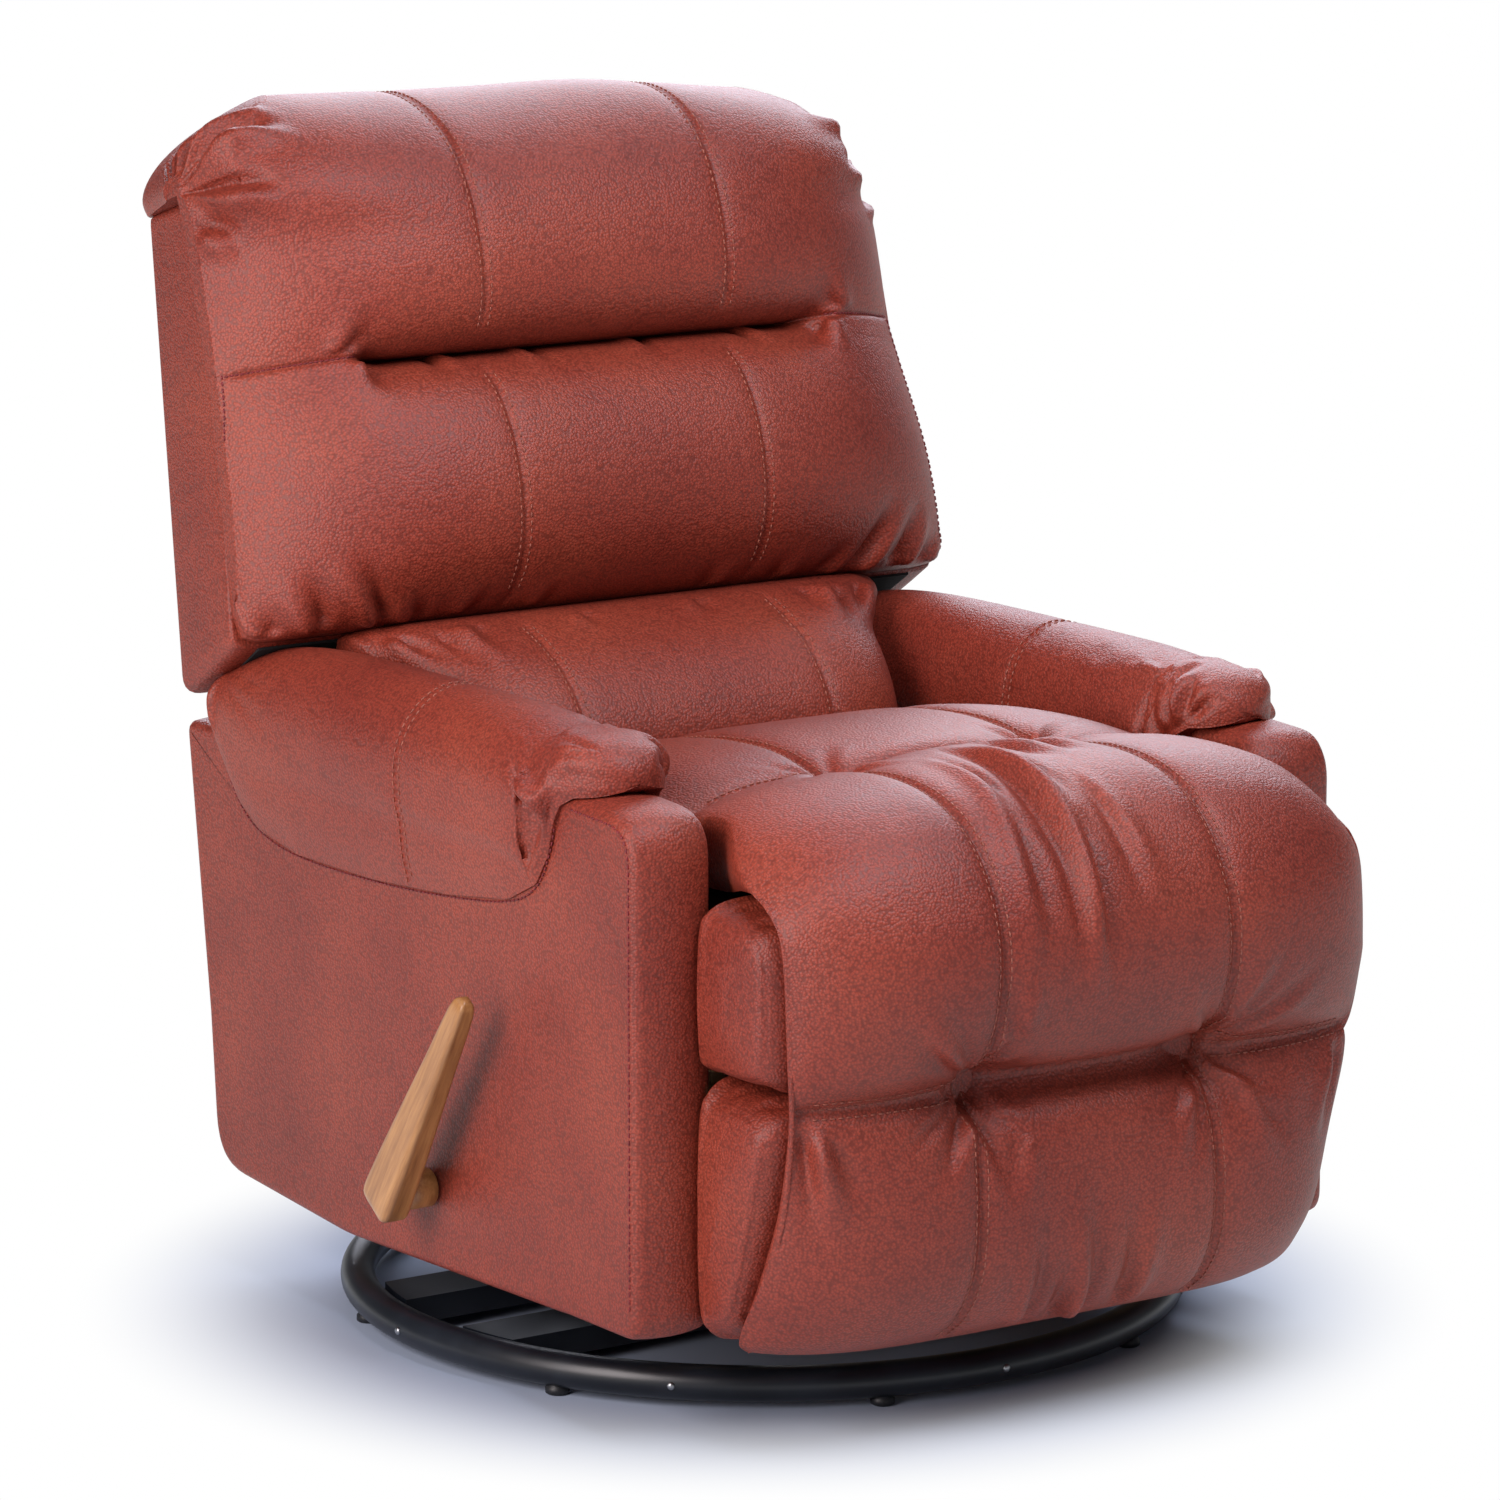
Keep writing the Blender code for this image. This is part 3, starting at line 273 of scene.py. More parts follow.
def moulded_nylon(name):
    made, tree, shader, where = material(name)
    skin = add(tree, "TexNoise", {"Vector": where, "Scale": 1 / (1.5 * MM), "Detail": 2.0})
    tone = add(tree, "ValToRGB", {"Fac": skin.outputs["Fac"]}, ((0.3, "#141518"), (0.7, "#1d1f23")))
    feed(shader, {"Base Color": tone.outputs["Color"], "Roughness": 0.5})
    return made


def bottom_cloth(name):
    """Spun-bonded black cloth: a dull felt with a dotted bond every 4 mm."""
    made, tree, shader, where = material(name)
    dots = add(tree, "TexVoronoi", {"Vector": where, "Scale": 1 / (4 * MM), "Randomness": 0.15})
    tone = add(tree, "ValToRGB", {"Fac": dots.outputs["Distance"]}, ((0.2, "#0e0e10"), (0.6, "#1b1b1d")))
    bump = add(tree, "Bump", {"Height": dots.outputs["Distance"], "Strength": 0.3, "Distance": 0.4 * MM})
    feed(shader, {"Base Color": tone.outputs["Color"], "Normal": bump.outputs["Normal"], "Roughness": 0.95})
    return made


nylon = moulded_nylon("moulded_nylon")
seat_cloth = bottom_cloth("bottom_cloth")
print("soft and moulded:", nylon.name, seat_cloth.name)

# %% [markdown]
# Every solid of the frame gets the finish of its slot in the record, so that whatever shows between the leather pieces
# already looks right.

# %% Finishes of the frame's nodes
FINISH = {"frame_wood": pine, "oak": oak, "black_steel": black_steel, "zinc_steel": zinc_steel, "nylon": nylon,
          "leather": leather}
slots = {part["node"]: part["material_slot"] for part in frame["record"]["subparts"]}
for node, obj in frame["nodes"].items():
    obj.data.materials.clear()
    obj.data.materials.append(FINISH[slots[node]])
print("finishes given to", len(slots), "nodes")

# %% [markdown]
# A leather cover is cut flat and sewn, then pulled over foam. Here each one starts as a grid: one direction runs
# across the chair, the other round the pad's section. The grid is blown up a little by Blender's cloth solver with
# its sewn lines held, then drawn again with about six times as many points, and the seams, tucks and folds are
# pressed into it.
# First come the lines that the grids are drawn from.

# %% Lines


def lengths(line, closed=False):
    """How far along a line each of its points is. A closed line has one figure more, back at its start."""
    if closed:
        line = np.vstack([line, line[:1]])
    return np.concatenate([[0.0], np.cumsum(np.linalg.norm(np.diff(line, axis=0), axis=1))])


def read(line, run, at):
    """The points of a line at the given lengths; run is the length at each of its own points."""
    return np.stack([np.interp(at, run, line[:, k]) for k in range(line.shape[1])], 1)


def even(line, count, closed, measure=2):
    """count points, evenly spaced along a line by its first columns."""
    if closed:
        line = np.vstack([line, line[:1]])
    run = lengths(line[:, :measure])
    return read(line, run, np.linspace(0, run[-1], count, endpoint=not closed))


def cubic(a, b, c, d, f):
    """From b at f = 0 to c at f = 1, on a smooth curve that heeds the neighbours a and d."""
    return 0.5 * (2 * b + (c - a) * f + (2 * a - 5 * b + 4 * c - d) * f ** 2 + (3 * b - a - 3 * c + d) * f ** 3)


def curve(points, count, closed=True, corners=(), measure=2):
    """A smooth line through points; those numbered in corners stay sharp. A count of 0 keeps 24 steps a stretch."""
    p = np.array(points, float)
    n = len(p)
    t = np.linspace(0, 1, 24, endpoint=False)[:, None]
    out = []
    for i in range(n if closed else n - 1):
        k = (i + 1) % n
        before = p[i - 1] if (closed or i) and i not in corners else p[i]
        after = p[(k + 1) % n] if (closed or k < n - 1) and k not in corners else p[k]
        out.append(cubic(before, p[i], p[k], after, t))
    if not closed:
        out.append(p[-1:])
    line = np.concatenate(out)
    return even(line, count, closed, measure) if count else line


print("a square's corners lie at", lengths(np.array([[0, 0], [1, 0], [1, 1], [0, 1]]), True), "along its outline")

# %% [markdown]
# Then the grids. A grid is read between its points with the same curve, its quads are numbered row by row, and a piece
# is the finished mesh in the shared frame.

# %% Grids and pieces
END_CORNERS = 60        # a face with this many corners is the flat end of a piece


def between(grid, at, axis, closed):
    """The grid read at fractional places along one axis, with a cubic through four neighbours."""
    n = grid.shape[axis]
    low = np.floor(at).astype(int)
    pick = [(low + d) % n if closed else np.clip(low + d, 0, n - 1) for d in (-1, 0, 1, 2)]
    shape = [1] * grid.ndim
    shape[axis] = len(at)
    return cubic(*(np.take(grid, p, axis) for p in pick), (at - low).reshape(shape))


def faces_of(rows, cols, closed=True):
    """Quads of a grid whose columns run round a closed section, or along an open strip."""
    i, j = np.meshgrid(np.arange(rows - 1), np.arange(cols if closed else cols - 1), indexing="ij")
    k = (j + 1) % cols
    return np.stack([i * cols + j, i * cols + k, (i + 1) * cols + k, (i + 1) * cols + j], -1).reshape(-1, 4).tolist()


def mesh_object(name, verts, faces, weld=False):
    """A mesh object with outward faces. weld also joins points that lie on one another."""
    mesh = bpy.data.meshes.new(name)
    mesh.from_pydata([tuple(v) for v in verts], [], [tuple(f) for f in faces])
    made = bmesh.new()
    made.from_mesh(mesh)
    if weld:
        bmesh.ops.remove_doubles(made, verts=made.verts, dist=2e-5)
        bmesh.ops.dissolve_degenerate(made, edges=made.edges, dist=1e-6)
    bmesh.ops.recalc_face_normals(made, faces=made.faces)
    made.to_mesh(mesh)
    made.free()
    obj = bpy.data.objects.new(name, mesh)
    bpy.context.scene.collection.objects.link(obj)
    return obj


def piece(name, verts, faces, finish, smooth=True):
    """A finished piece in the shared frame, smooth but for its flat ends."""
    obj = mesh_object(name, np.asarray(verts) + SHIFT, faces, weld=True)
    polygons = obj.data.polygons
    polygons.foreach_set("use_smooth", [smooth and len(p.vertices) < END_CORNERS for p in polygons])
    obj.data.materials.append(finish)
    return obj


def upholster(obj, body, *nodes, fill=None):
    """Leather that rides on a body in place of some solids, which it hides. fill is not used."""
    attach(obj, body)
    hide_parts(*nodes)


print("a grid of 3 by 4 has", len(faces_of(3, 4)), "faces")

# %% [markdown]
# The blowing-up step. Foam pushes the leather out evenly, so the solver gets a small inner pressure and no weight.
# Points with a hold of 1 stay where they were drawn: these are the sewn edges, the tufts and the side that lies
# against the frame. The move is capped, so the pad stays in the space that its solid has.

# %% Inflate a cover
PRESSURE, FRAMES = 1.6, 16


def inflate(grid, hold, slack, cap=0.006):
    """grid is rows x cols x 3, closed round its columns. hold (0 to 1) is where the leather is sewn or lies on the
    frame, slack (0 to 1) is where it is too long for its foam and wrinkles. Returns the settled grid."""
    rows, cols, _ = grid.shape
    verts = list(grid.reshape(-1, 3))
    faces = faces_of(rows, cols)
    for base in (0, (rows - 1) * cols):
        faces += [[base + j, base + (j + 1) % cols, len(verts)] for j in range(cols)]
        verts.append(grid.reshape(-1, 3)[base:base + cols].mean(0))
    obj = mesh_object("cover", verts, faces)
    scene = bpy.context.scene
    for name, weights in (("held", hold), ("slack", slack)):
        group = obj.vertex_groups.new(name=name)
        for i, w in enumerate(np.concatenate([weights.ravel(), [1.0, 1.0]])):
            if w > 0.01:
                group.add([i], float(min(1.0, w)), "REPLACE")
    cloth = obj.modifiers.new("cloth", "CLOTH")
    sets = cloth.settings
    sets.quality = 5
    sets.mass = 0.25
    sets.tension_stiffness = sets.compression_stiffness = 12
    sets.shear_stiffness = 4
    sets.bending_stiffness = 1.5
    sets.use_pressure = True
    sets.uniform_pressure_force = PRESSURE
    sets.vertex_group_mass = "held"
    sets.vertex_group_shrink = "slack"
    sets.shrink_min, sets.shrink_max = 0.0, -0.07
    sets.effector_weights.gravity = 0.0
    cloth.collision_settings.use_collision = False
    cloth.point_cache.frame_start, cloth.point_cache.frame_end = 1, FRAMES
    for f in range(1, FRAMES + 1):
        scene.frame_set(f)
    done = obj.evaluated_get(bpy.context.evaluated_depsgraph_get()).to_mesh()
    co = np.empty(len(done.vertices) * 3)
    done.vertices.foreach_get("co", co)
    moved = co.reshape(-1, 3)[:rows * cols].reshape(grid.shape) - grid
    far = np.linalg.norm(moved, axis=2, keepdims=True)
    moved *= np.minimum(1.0, cap / np.maximum(far, 1e-9))
    scene.frame_set(1)
    bpy.data.objects.remove(obj, do_unlink=True)
    print("  inflated by", round(float(far.mean()) * 1000, 1), "mm on average, most", round(float(far.max()) * 1000))
    return grid + moved


print("covers are blown up", "one by one as they are made")

# %% [markdown]
# A cover keeps two charts of itself: x, the place across the chair, and v, the length round the section from its
# first point, both in metres. Every seam, tuft and fold is written in those two numbers, so it lands in the same
# place whatever the foam has done. A fold is a furrow with a soft ridge beside it; a tuft is a dimple with short
# rays. All of them are summed up as a lift, and pressed in at the end along the surface's normals.

# %% Covers with seams, folds and tufts
SEAM_FADE = 0.02        # a seam's groove fades out over this length at its ends


def bell(off, width):
    """1 where off is 0, falling softly to nothing over two or three widths."""
    return np.exp(-(off / width) ** 2)


class Cover:
    """A sewn cover: a settled grid drawn finer, with its charts, to press details into."""

    def __init__(self, grid, chart_x, chart_v, rows, cols):
        """rows are places from -1 to 1 across the chair, cols are lengths round the section."""
        self.length = chart_v[-1] + chart_v[1]
        step = len(chart_v) / self.length
        self.v = cols
        wide = np.abs(chart_x).max()
        middle = chart_x[:, np.argmax(np.abs(chart_x).max(0))]
        at = np.interp(rows * wide, middle, np.arange(len(middle)))
        self.grid = between(between(grid, at, 0, False), cols * step, 1, True)
        self.x = between(between(chart_x, at, 0, False), cols * step, 1, True)
        self.lift = np.zeros(self.x.shape)

    def normals(self):
        g = self.grid
        across = np.gradient(g, axis=0)
        wrap = np.concatenate([g[:, -1:], g, g[:, :1]], 1)
        around = (wrap[:, 2:] - wrap[:, :-2]) / 2
        n = np.cross(across, around)
        n /= np.maximum(np.linalg.norm(n, axis=2, keepdims=True), 1e-12)
        out = g - g.mean((0, 1))
        return n if (n * out).sum() > 0 else -n

    def off(self, x, v):
        """Distances across and along from a point, going round the section the short way."""
        dv = (self.v[None, :] - v + self.length / 2) % self.length - self.length / 2
        return self.x - x, dv + 0 * self.x

    def groove(self, off, inside, depth, soft, valley):
        """A sewn line: a narrow cut in a soft furrow in a shallow valley."""
        self.lift -= inside * depth * (0.55 * bell(off, 0.35 * soft) + bell(off, soft) + 0.8 * bell(off, valley))

    def seam(self, x, v0, v1, depth, soft, valley):
        """A sewn line along the section at one x (a number, or one per column)."""
        inside = np.clip((self.v - v0) / SEAM_FADE, 0, 1) * np.clip((v1 - self.v) / SEAM_FADE, 0, 1)
        self.groove(self.x - x, inside, depth, soft, valley)

    def cross(self, v, x0, x1, depth, soft, valley):
        """A sewn line across the chair at one v."""
        inside = np.clip((self.x - x0) / SEAM_FADE, 0, 1) * np.clip((x1 - self.x) / SEAM_FADE, 0, 1)
        self.groove(self.off(0.0, v)[1], inside, depth, soft, valley)

    def fold(self, x0, v0, x1, v1, width, depth, ridge, bow=0.0, start=0.25):
        """A furrow from one point to another, deepest at start, with a ridge on its left side (ridge < 0: right)."""
        dx, dv = self.off(x0, v0)
        ex, ev = x1 - x0, v1 - v0
        size = math.hypot(ex, ev)
        along = (dx * ex + dv * ev) / size ** 2
        a = np.clip(along, 0, 1)
        aside = (dx * -ev + dv * ex) / size - bow * np.sin(np.pi * a)
        fade = np.minimum(a / start, 1.0) * np.clip((1 - a) / (1 - start), 0, 1)
        fade = np.where((along > 0) & (along < 1), fade * fade * (3 - 2 * fade), 0.0)
        wide = width * (0.7 + 0.6 * a)
        side = 1.0 if ridge >= 0 else -1.0
        hill = bell(side * aside - 1.7 * wide, 1.3 * wide)
        self.lift += fade * depth * (abs(ridge) * hill - bell(aside, wide))

    def tuft(self, x, v, depth, reach, rays, turn):
        """A dimple drawn in by a stitched knot, with short folds running out of it."""
        dx, dv = self.off(x, v)
        r = np.hypot(dx, dv)
        self.lift -= depth * (0.62 * np.exp(-r / (0.6 * reach)) + 0.38 * bell(r, 2.6 * reach))
        swell = (r / reach) * np.exp(1 - r / reach)
        self.lift += 0.10 * depth * swell ** 2 * np.cos(rays * np.arctan2(dv, dx) + turn)

    def press(self):
        """Pushes the grid along its normals by everything drawn so far."""
        self.grid = self.grid + self.normals() * self.lift[:, :, None]
        self.lift = np.zeros(self.x.shape)

    def trace(self, xs, vs):
        """Points and normals on the cover along a line of (x, v)."""
        n = self.normals()
        points, ups = [], []
        for x, v in zip(xs, vs):
            j = int(np.argmin(np.abs(self.v - v)))
            r = float(np.interp(x, self.x[:, j], np.arange(len(self.x))))
            i = min(int(r), len(self.x) - 2)
            f = r - i
            points.append(self.grid[i, j] * (1 - f) + self.grid[i + 1, j] * f)
            ups.append(n[i, j])
        return np.array(points), np.array(ups)

    def shell(self, place=None):
        """Vertices and faces, with both ends closed."""
        rows, cols, _ = self.grid.shape
        points = self.grid if place is None else place(self.grid)
        verts = list(points.reshape(-1, 3))
        faces = faces_of(rows, cols)
        faces += [list(range(cols)), list(range((rows - 1) * cols, rows * cols))]
        return verts, faces


def clustered(count, centres, width, share):
    """count places from -1 to 1, closer together about the centres."""
    u = np.linspace(-1, 1, 4001)
    density = 1 + sum(share * bell(u - c, width) for c in centres) + 1.5 * np.abs(u) ** 10
    run = np.concatenate([[0], np.cumsum((density[1:] + density[:-1]) / 2)])
    return np.interp(np.linspace(0, run[-1], count), run, u)


def nearest(ring, *point):
    """The length round a section at its point closest to the given one."""
    return float(lengths(ring)[np.argmin(np.linalg.norm(ring - np.array(point), axis=1))])


print("places across a pad, first five:", clustered(9, (0.0,), 0.1, 2.0).round(2)[:5])

# %% [markdown]
# Stitches are real here: each is a thread 1.4 mm thick (1.6 mm for the dark red) that comes up, runs about 5 mm and
# dives again. Seen from the camera they are the dotted rows on both sides of the long seams, and the dark red lines on
# the side panels.

# %% Stitching
RED_STITCH = {"pitch": 0.0062, "length": 0.0046, "radius": 0.0008}


def stitch_row(points, ups, pitch=0.0070, length=0.0050, radius=0.0007):
    """Vertices and faces of small spindles laid along a line on a surface."""
    run = lengths(points)
    at = np.arange(pitch / 2, run[-1], pitch)
    ahead = read(points, run, at + 0.002) - read(points, run, at - 0.002)
    verts, faces = [], []
    turn = np.arange(5) * 2 * np.pi / 5
    for c, n, d in zip(read(points, run, at), read(ups, run, at), ahead):
        d = d / max(np.linalg.norm(d), 1e-9)
        n = n / max(np.linalg.norm(n), 1e-9)
        side = np.cross(d, n)
        c = c + n * radius * 0.55
        base = len(verts)
        verts.append(c - d * length / 2 - n * radius)
        for s in (-0.32, 0.32):
            verts += [c + d * length * s + radius * (np.cos(a) * side + np.sin(a) * n) for a in turn]
        verts.append(c + d * length / 2 - n * radius)
        for k in range(5):
            m = (k + 1) % 5
            faces += [[base, base + 1 + m, base + 1 + k],
                      [base + 1 + k, base + 1 + m, base + 6 + m, base + 6 + k],
                      [base + 11, base + 6 + k, base + 6 + m]]
    return verts, faces


def join(parts):
    """Several (vertices, faces) as one."""
    verts, faces = [], []
    for v, f in parts:
        faces += [[i + len(verts) for i in face] for face in f]
        verts += list(v)
    return verts, faces


print("one stitch has", len(stitch_row(np.array([[0, 0, 0], [0.0072, 0, 0]]), np.array([[0, 0, 1.0]] * 2))[0]),
      "points")

# %% [markdown]
# The back. The inner back is three foam rolls in leather: the head roll goes over the top and down behind, the
# middle roll spans the full width, and the lumbar roll tucks down between the arms. They lean 16.6 degrees.
# t runs up the outer back and n comes forward from it. The rolls are thin at their side edges and swell towards the
# middle; two seams run down all three.

# %% Back rolls
TILT = math.radians(16.6)
BACK_Y, BACK_Z, BACK_LEN, BACK_DEPTH = 0.356, 0.500, 0.412, 0.100
REST = BACK_DEPTH + 0.0003      # n of the plane that the rolls lie against
SEAM_X = 0.125
SHY = 0.9995                    # the end rows stop just short of the very end, where a section shrinks to a point


def back_place(grid):
    """From (x, t, n) on the back to (x, y, z)."""
    x, t, n = np.moveaxis(np.asarray(grid), -1, 0)
    return np.stack([x, BACK_Y + t * math.sin(TILT) - n * math.cos(TILT),
                     BACK_Z + t * math.cos(TILT) + n * math.sin(TILT)], -1)


def smooth(low, high, value):
    """0 below low, 1 above high and a soft step between."""
    f = np.clip((value - low) / (high - low), 0, 1)
    return f * f * (3 - 2 * f)


def roll(deep, flat, corners, blend, end, half, rows, cols, fine):
    """A cover over a section that goes from deep in the middle to flat at the sides (blend gives how deep at s)."""
    ring = curve(np.hstack([deep, flat]), cols, True, corners)
    u = np.linspace(-1, 1, rows)
    s = (0.6 * u + 0.4 * np.sin(np.pi / 2 * u))[:, None] * SHY
    w = blend(s)
    t, n = end(s, ring[:, 2] + (ring[:, 0] - ring[:, 2]) * w, ring[:, 3] + (ring[:, 1] - ring[:, 3]) * w)
    x = s * half(s, t)
    free = np.clip(np.maximum((n - REST - 0.02) / 0.03, (t - 0.43) / 0.02), 0, 1)
    sewn = 0.10 * bell(np.abs(x) - SEAM_X, 0.006) * free
    hold = np.maximum.reduce([1 - free, sewn, np.clip((np.abs(s) - 0.95) / 0.04, 0, 1) + 0 * x])
    lips = sum(bell(t - lip, 0.028) for lip in (0.262, 0.040, 0.025))
    slack = np.clip(lips * (0.25 + 0.75 * smooth(0.10, 0.26, np.abs(x))) * free, 0, 1)
    grid = inflate(np.stack([x, t, n], 2), hold, slack)
    total = lengths(ring[:, :2], True)[-1]
    places = clustered(fine[0], (-SEAM_X / x.max(), SEAM_X / x.max(), -0.95, 0.95), 0.04, 1.6)
    cover = Cover(grid, x, np.arange(cols) * total / cols, places, np.linspace(0, total, fine[1], endpoint=False))
    cover.ring = ring[:, :2]
    return cover


print("the back's foot is at", back_place([0.0, 0.0, 0.0]).round(3))

# %% [markdown]
# Head and middle roll are one section, read from the foot of the middle roll over the valley and the head to the rear.
# In the middle of the chair the valley is deep; at the sides it is flat. The lumbar roll has a section of its own.

# %% Sections of the rolls
VALLEY_HALF = 0.225     # the valley under the head roll reaches this far to each side; beyond, the leather lies flat
FOOT_HALF, HEAD_HALF = 0.364, 0.348     # half the width at the middle roll's foot, and from the valley up
KNOT = (0.425, 0.095)   # t, n of the knots that the head's two ends are pulled to
front_low = [(0.034, REST), (0.035, 0.142), (0.050, 0.178), (0.083, 0.209), (0.130, 0.223), (0.180, 0.221)]
front_deep = [(0.222, 0.206), (0.246, 0.180), (0.258, 0.150), (0.263, 0.128), (0.262, 0.152), (0.265, 0.176),
              (0.280, 0.198), (0.306, 0.212)]
front_flat = [(0.222, 0.212), (0.240, 0.206), (0.254, 0.2015), (0.262, 0.200), (0.270, 0.2015), (0.280, 0.206),
              (0.294, 0.211), (0.312, 0.215)]
front_top = [(0.345, 0.217), (0.400, 0.209), (0.445, 0.180), (0.477, 0.132), (0.491, 0.072), (0.486, 0.022),
             (0.465, -0.010), (0.432, -0.014), (BACK_LEN + 0.0003, -0.004), (BACK_LEN + 0.0003, REST)]


def inner_end(s, t, n):
    """How the section draws in towards the ends: the front thins to its boxing, the top is pulled to a knot."""
    a = np.abs(s)
    t = t + (0.007 - 0.012 * s + 0.010 * bell(s - 0.35, 0.45)) * smooth(0.33, 0.48, t)
    high = smooth(0.36, 0.42, t)
    thin = np.where(n > REST, (0.14 + 0.20 * high) + (0.86 - 0.20 * high) * (1 - a ** (4.5 + 1.5 * high)), 1.0)
    n = REST + (n - REST) * thin
    t = np.where(t < 0.2, 0.2 + (t - 0.2) * (1 - a ** 24) ** (1 / 24), t)
    pull = 1 - 0.80 * high * smooth(0.93, 1.0, a)
    return KNOT[0] + (t - KNOT[0]) * pull, KNOT[1] + (n - KNOT[1]) * pull


def inner_half(s, t):
    """Half the width; in the photograph the left end is fuller low down and drawn in further at the head."""
    wide = np.where(t < 0.26, FOOT_HALF - 0.016 * t / 0.26, HEAD_HALF)
    left = 0.010 * (1 - smooth(0.12, 0.26, t)) - 0.034 * smooth(0.34, 0.46, t)
    return wide + left * (s > 0) - np.where(s > 0, 0.110, 0.080) * np.clip((t - 0.43) / 0.075, 0, 1.1) ** 1.8


inner_back = roll(front_low + front_deep + front_top, front_low + front_flat + front_top, (0, 9, 22, 23),
                  lambda s: 1 - smooth(VALLEY_HALF - 0.02, VALLEY_HALF + 0.03, np.abs(s) * HEAD_HALF),
                  inner_end, inner_half, 97, 170, (300, 330))
low_section = [(-0.145, REST), (0.0336, REST), (0.0300, 0.160), (-0.010, 0.222), (-0.050, 0.253), (-0.090, 0.265),
               (-0.124, 0.257), (-0.150, 0.232), (-0.166, 0.180), (-0.162, 0.130)]


def lumbar_end(s, t, n):
    a = np.abs(s)
    return (-0.062 + (t + 0.062) * (1 - a ** 24) ** (1 / 24), REST + (n - REST) * (0.42 + 0.58 * (1 - a ** 7)))


def lumbar_half(s, t):
    """Half the width; in the photograph the right end is a little narrower where it comes out above the arm."""
    return 0.245 + np.where(s < 0, 0.022, 0.034) * smooth(-0.030, 0.024, t)


lumbar = roll(low_section, low_section, (0, 1), lambda s: 1 + 0 * s, lumbar_end, lumbar_half, 81, 112, (210, 210))
print("inner back is", round(inner_back.length, 3), "m round its section")

# %% [markdown]
# Details of the back, read from the photograph. The long seams are double-stitched. Head and middle roll are one
# cushion: at the sides a dark red seam lies flat between them, and further in it drops into a deep valley that starts
# with a pinch. Where a roll dives into a valley the leather is a little too long and folds stand across the crease.
# The top corners are gathered over the outer back into thick pleats. Folds are listed for one half of the chair and
# mirrored for the other.

# %% Press the inner back's seams and folds
LONG_SEAM = (0.0016, 0.004, 0.012)      # depth, half width of the furrow and of the valley about it
at = {name: nearest(inner_back.ring, *point) for name, point in (
    ("foot", (0.036, 0.145)), ("low", (0.050, 0.178)), ("below", (0.246, 0.180)), ("valley", (0.263, 0.128)),
    ("above", (0.270, 0.186)), ("brow", (0.400, 0.209)), ("turn", (0.445, 0.180)), ("crown", (0.477, 0.132)),
    ("top", (0.491, 0.072)), ("behind", (0.486, 0.022)))}
VALLEY_FOLDS = (  # from x, past the valley, to x, towards, past that, width, depth, ridge on the left, on the right
    (0.236, -0.004, 0.224, "below", -0.030, 0.0075, 0.010, 0.7, -0.7),
    (0.256, 0.004, 0.226, "above", 0.035, 0.0090, 0.006, -0.7, 0.7),
    (0.155, 0.0, 0.165, "below", -0.020, 0.0070, 0.005, 0.7, 0.7),
    (0.060, 0.0, 0.052, "below", -0.026, 0.0080, 0.004, -0.7, -0.7))
FOOT_FOLDS = (  # from x, to x, rise, depth
    (0.236, 0.282, 0.090, 0.0120), (0.292, 0.318, 0.082, 0.0105), (0.334, 0.345, 0.040, 0.0060),
    (0.205, 0.222, 0.040, 0.0050), (0.160, 0.150, 0.032, 0.0035), (0.085, 0.078, 0.030, 0.0030))
PLEATS = (  # beside, start past it, end x, end past it, width, depth
    ("turn", -0.010, 0.262, 0.022, 0.0085, 0.0150), ("brow", 0.012, 0.285, 0.004, 0.0075, 0.0110),
    ("crown", -0.012, 0.262, 0.004, 0.0085, 0.0150), ("top", -0.012, 0.285, -0.006, 0.0080, 0.0120),
    ("brow", -0.022, 0.318, -0.030, 0.0060, 0.0080), ("top", 0.014, 0.300, 0.022, 0.0065, 0.0090),
    ("behind", 0.000, 0.305, 0.004, 0.0065, 0.0080), ("behind", 0.022, 0.312, 0.026, 0.0060, 0.0060))
PLEAT_X, PLEAT_SHARE = 0.349, {-1: 1.3, 1: 0.75}    # where pleats start; those at the chair's right are deeper
for side in (-1, 1):
    inner_back.seam(side * SEAM_X, at["foot"], at["below"], *LONG_SEAM)
    inner_back.seam(side * SEAM_X, at["above"], at["behind"], *LONG_SEAM)
    inner_back.cross(at["valley"], side * 0.287 - 0.062, side * 0.287 + 0.062, 0.0022, 0.004, 0.012)
    for x0, dv0, x1, mark, dv1, width, depth, *ridge in VALLEY_FOLDS:
        inner_back.fold(side * x0, at["valley"] + dv0, side * x1, at[mark] + dv1, width, depth, ridge[side < 0])
    for x0, x1, rise, depth in FOOT_FOLDS:
        inner_back.fold(side * x0, at["foot"] - 0.004, side * x1, at["foot"] + 0.012 + rise, 0.0085, depth,
                        -0.8 * side)
    for mark, dv0, x1, dv1, width, depth in PLEATS:
        inner_back.fold(side * PLEAT_X, at[mark] + dv0, side * x1, at[mark] + dv1, width, depth * PLEAT_SHARE[side],
                        0.9 * side, 0.006, 0.35)
inner_back.press()
print("inner back pressed, its valley", round(at["valley"], 3), "m round from the foot")

# %% [markdown]
# The lumbar roll has the same two long seams, and short folds where it comes out from under the middle roll. Then both
# covers become pieces.

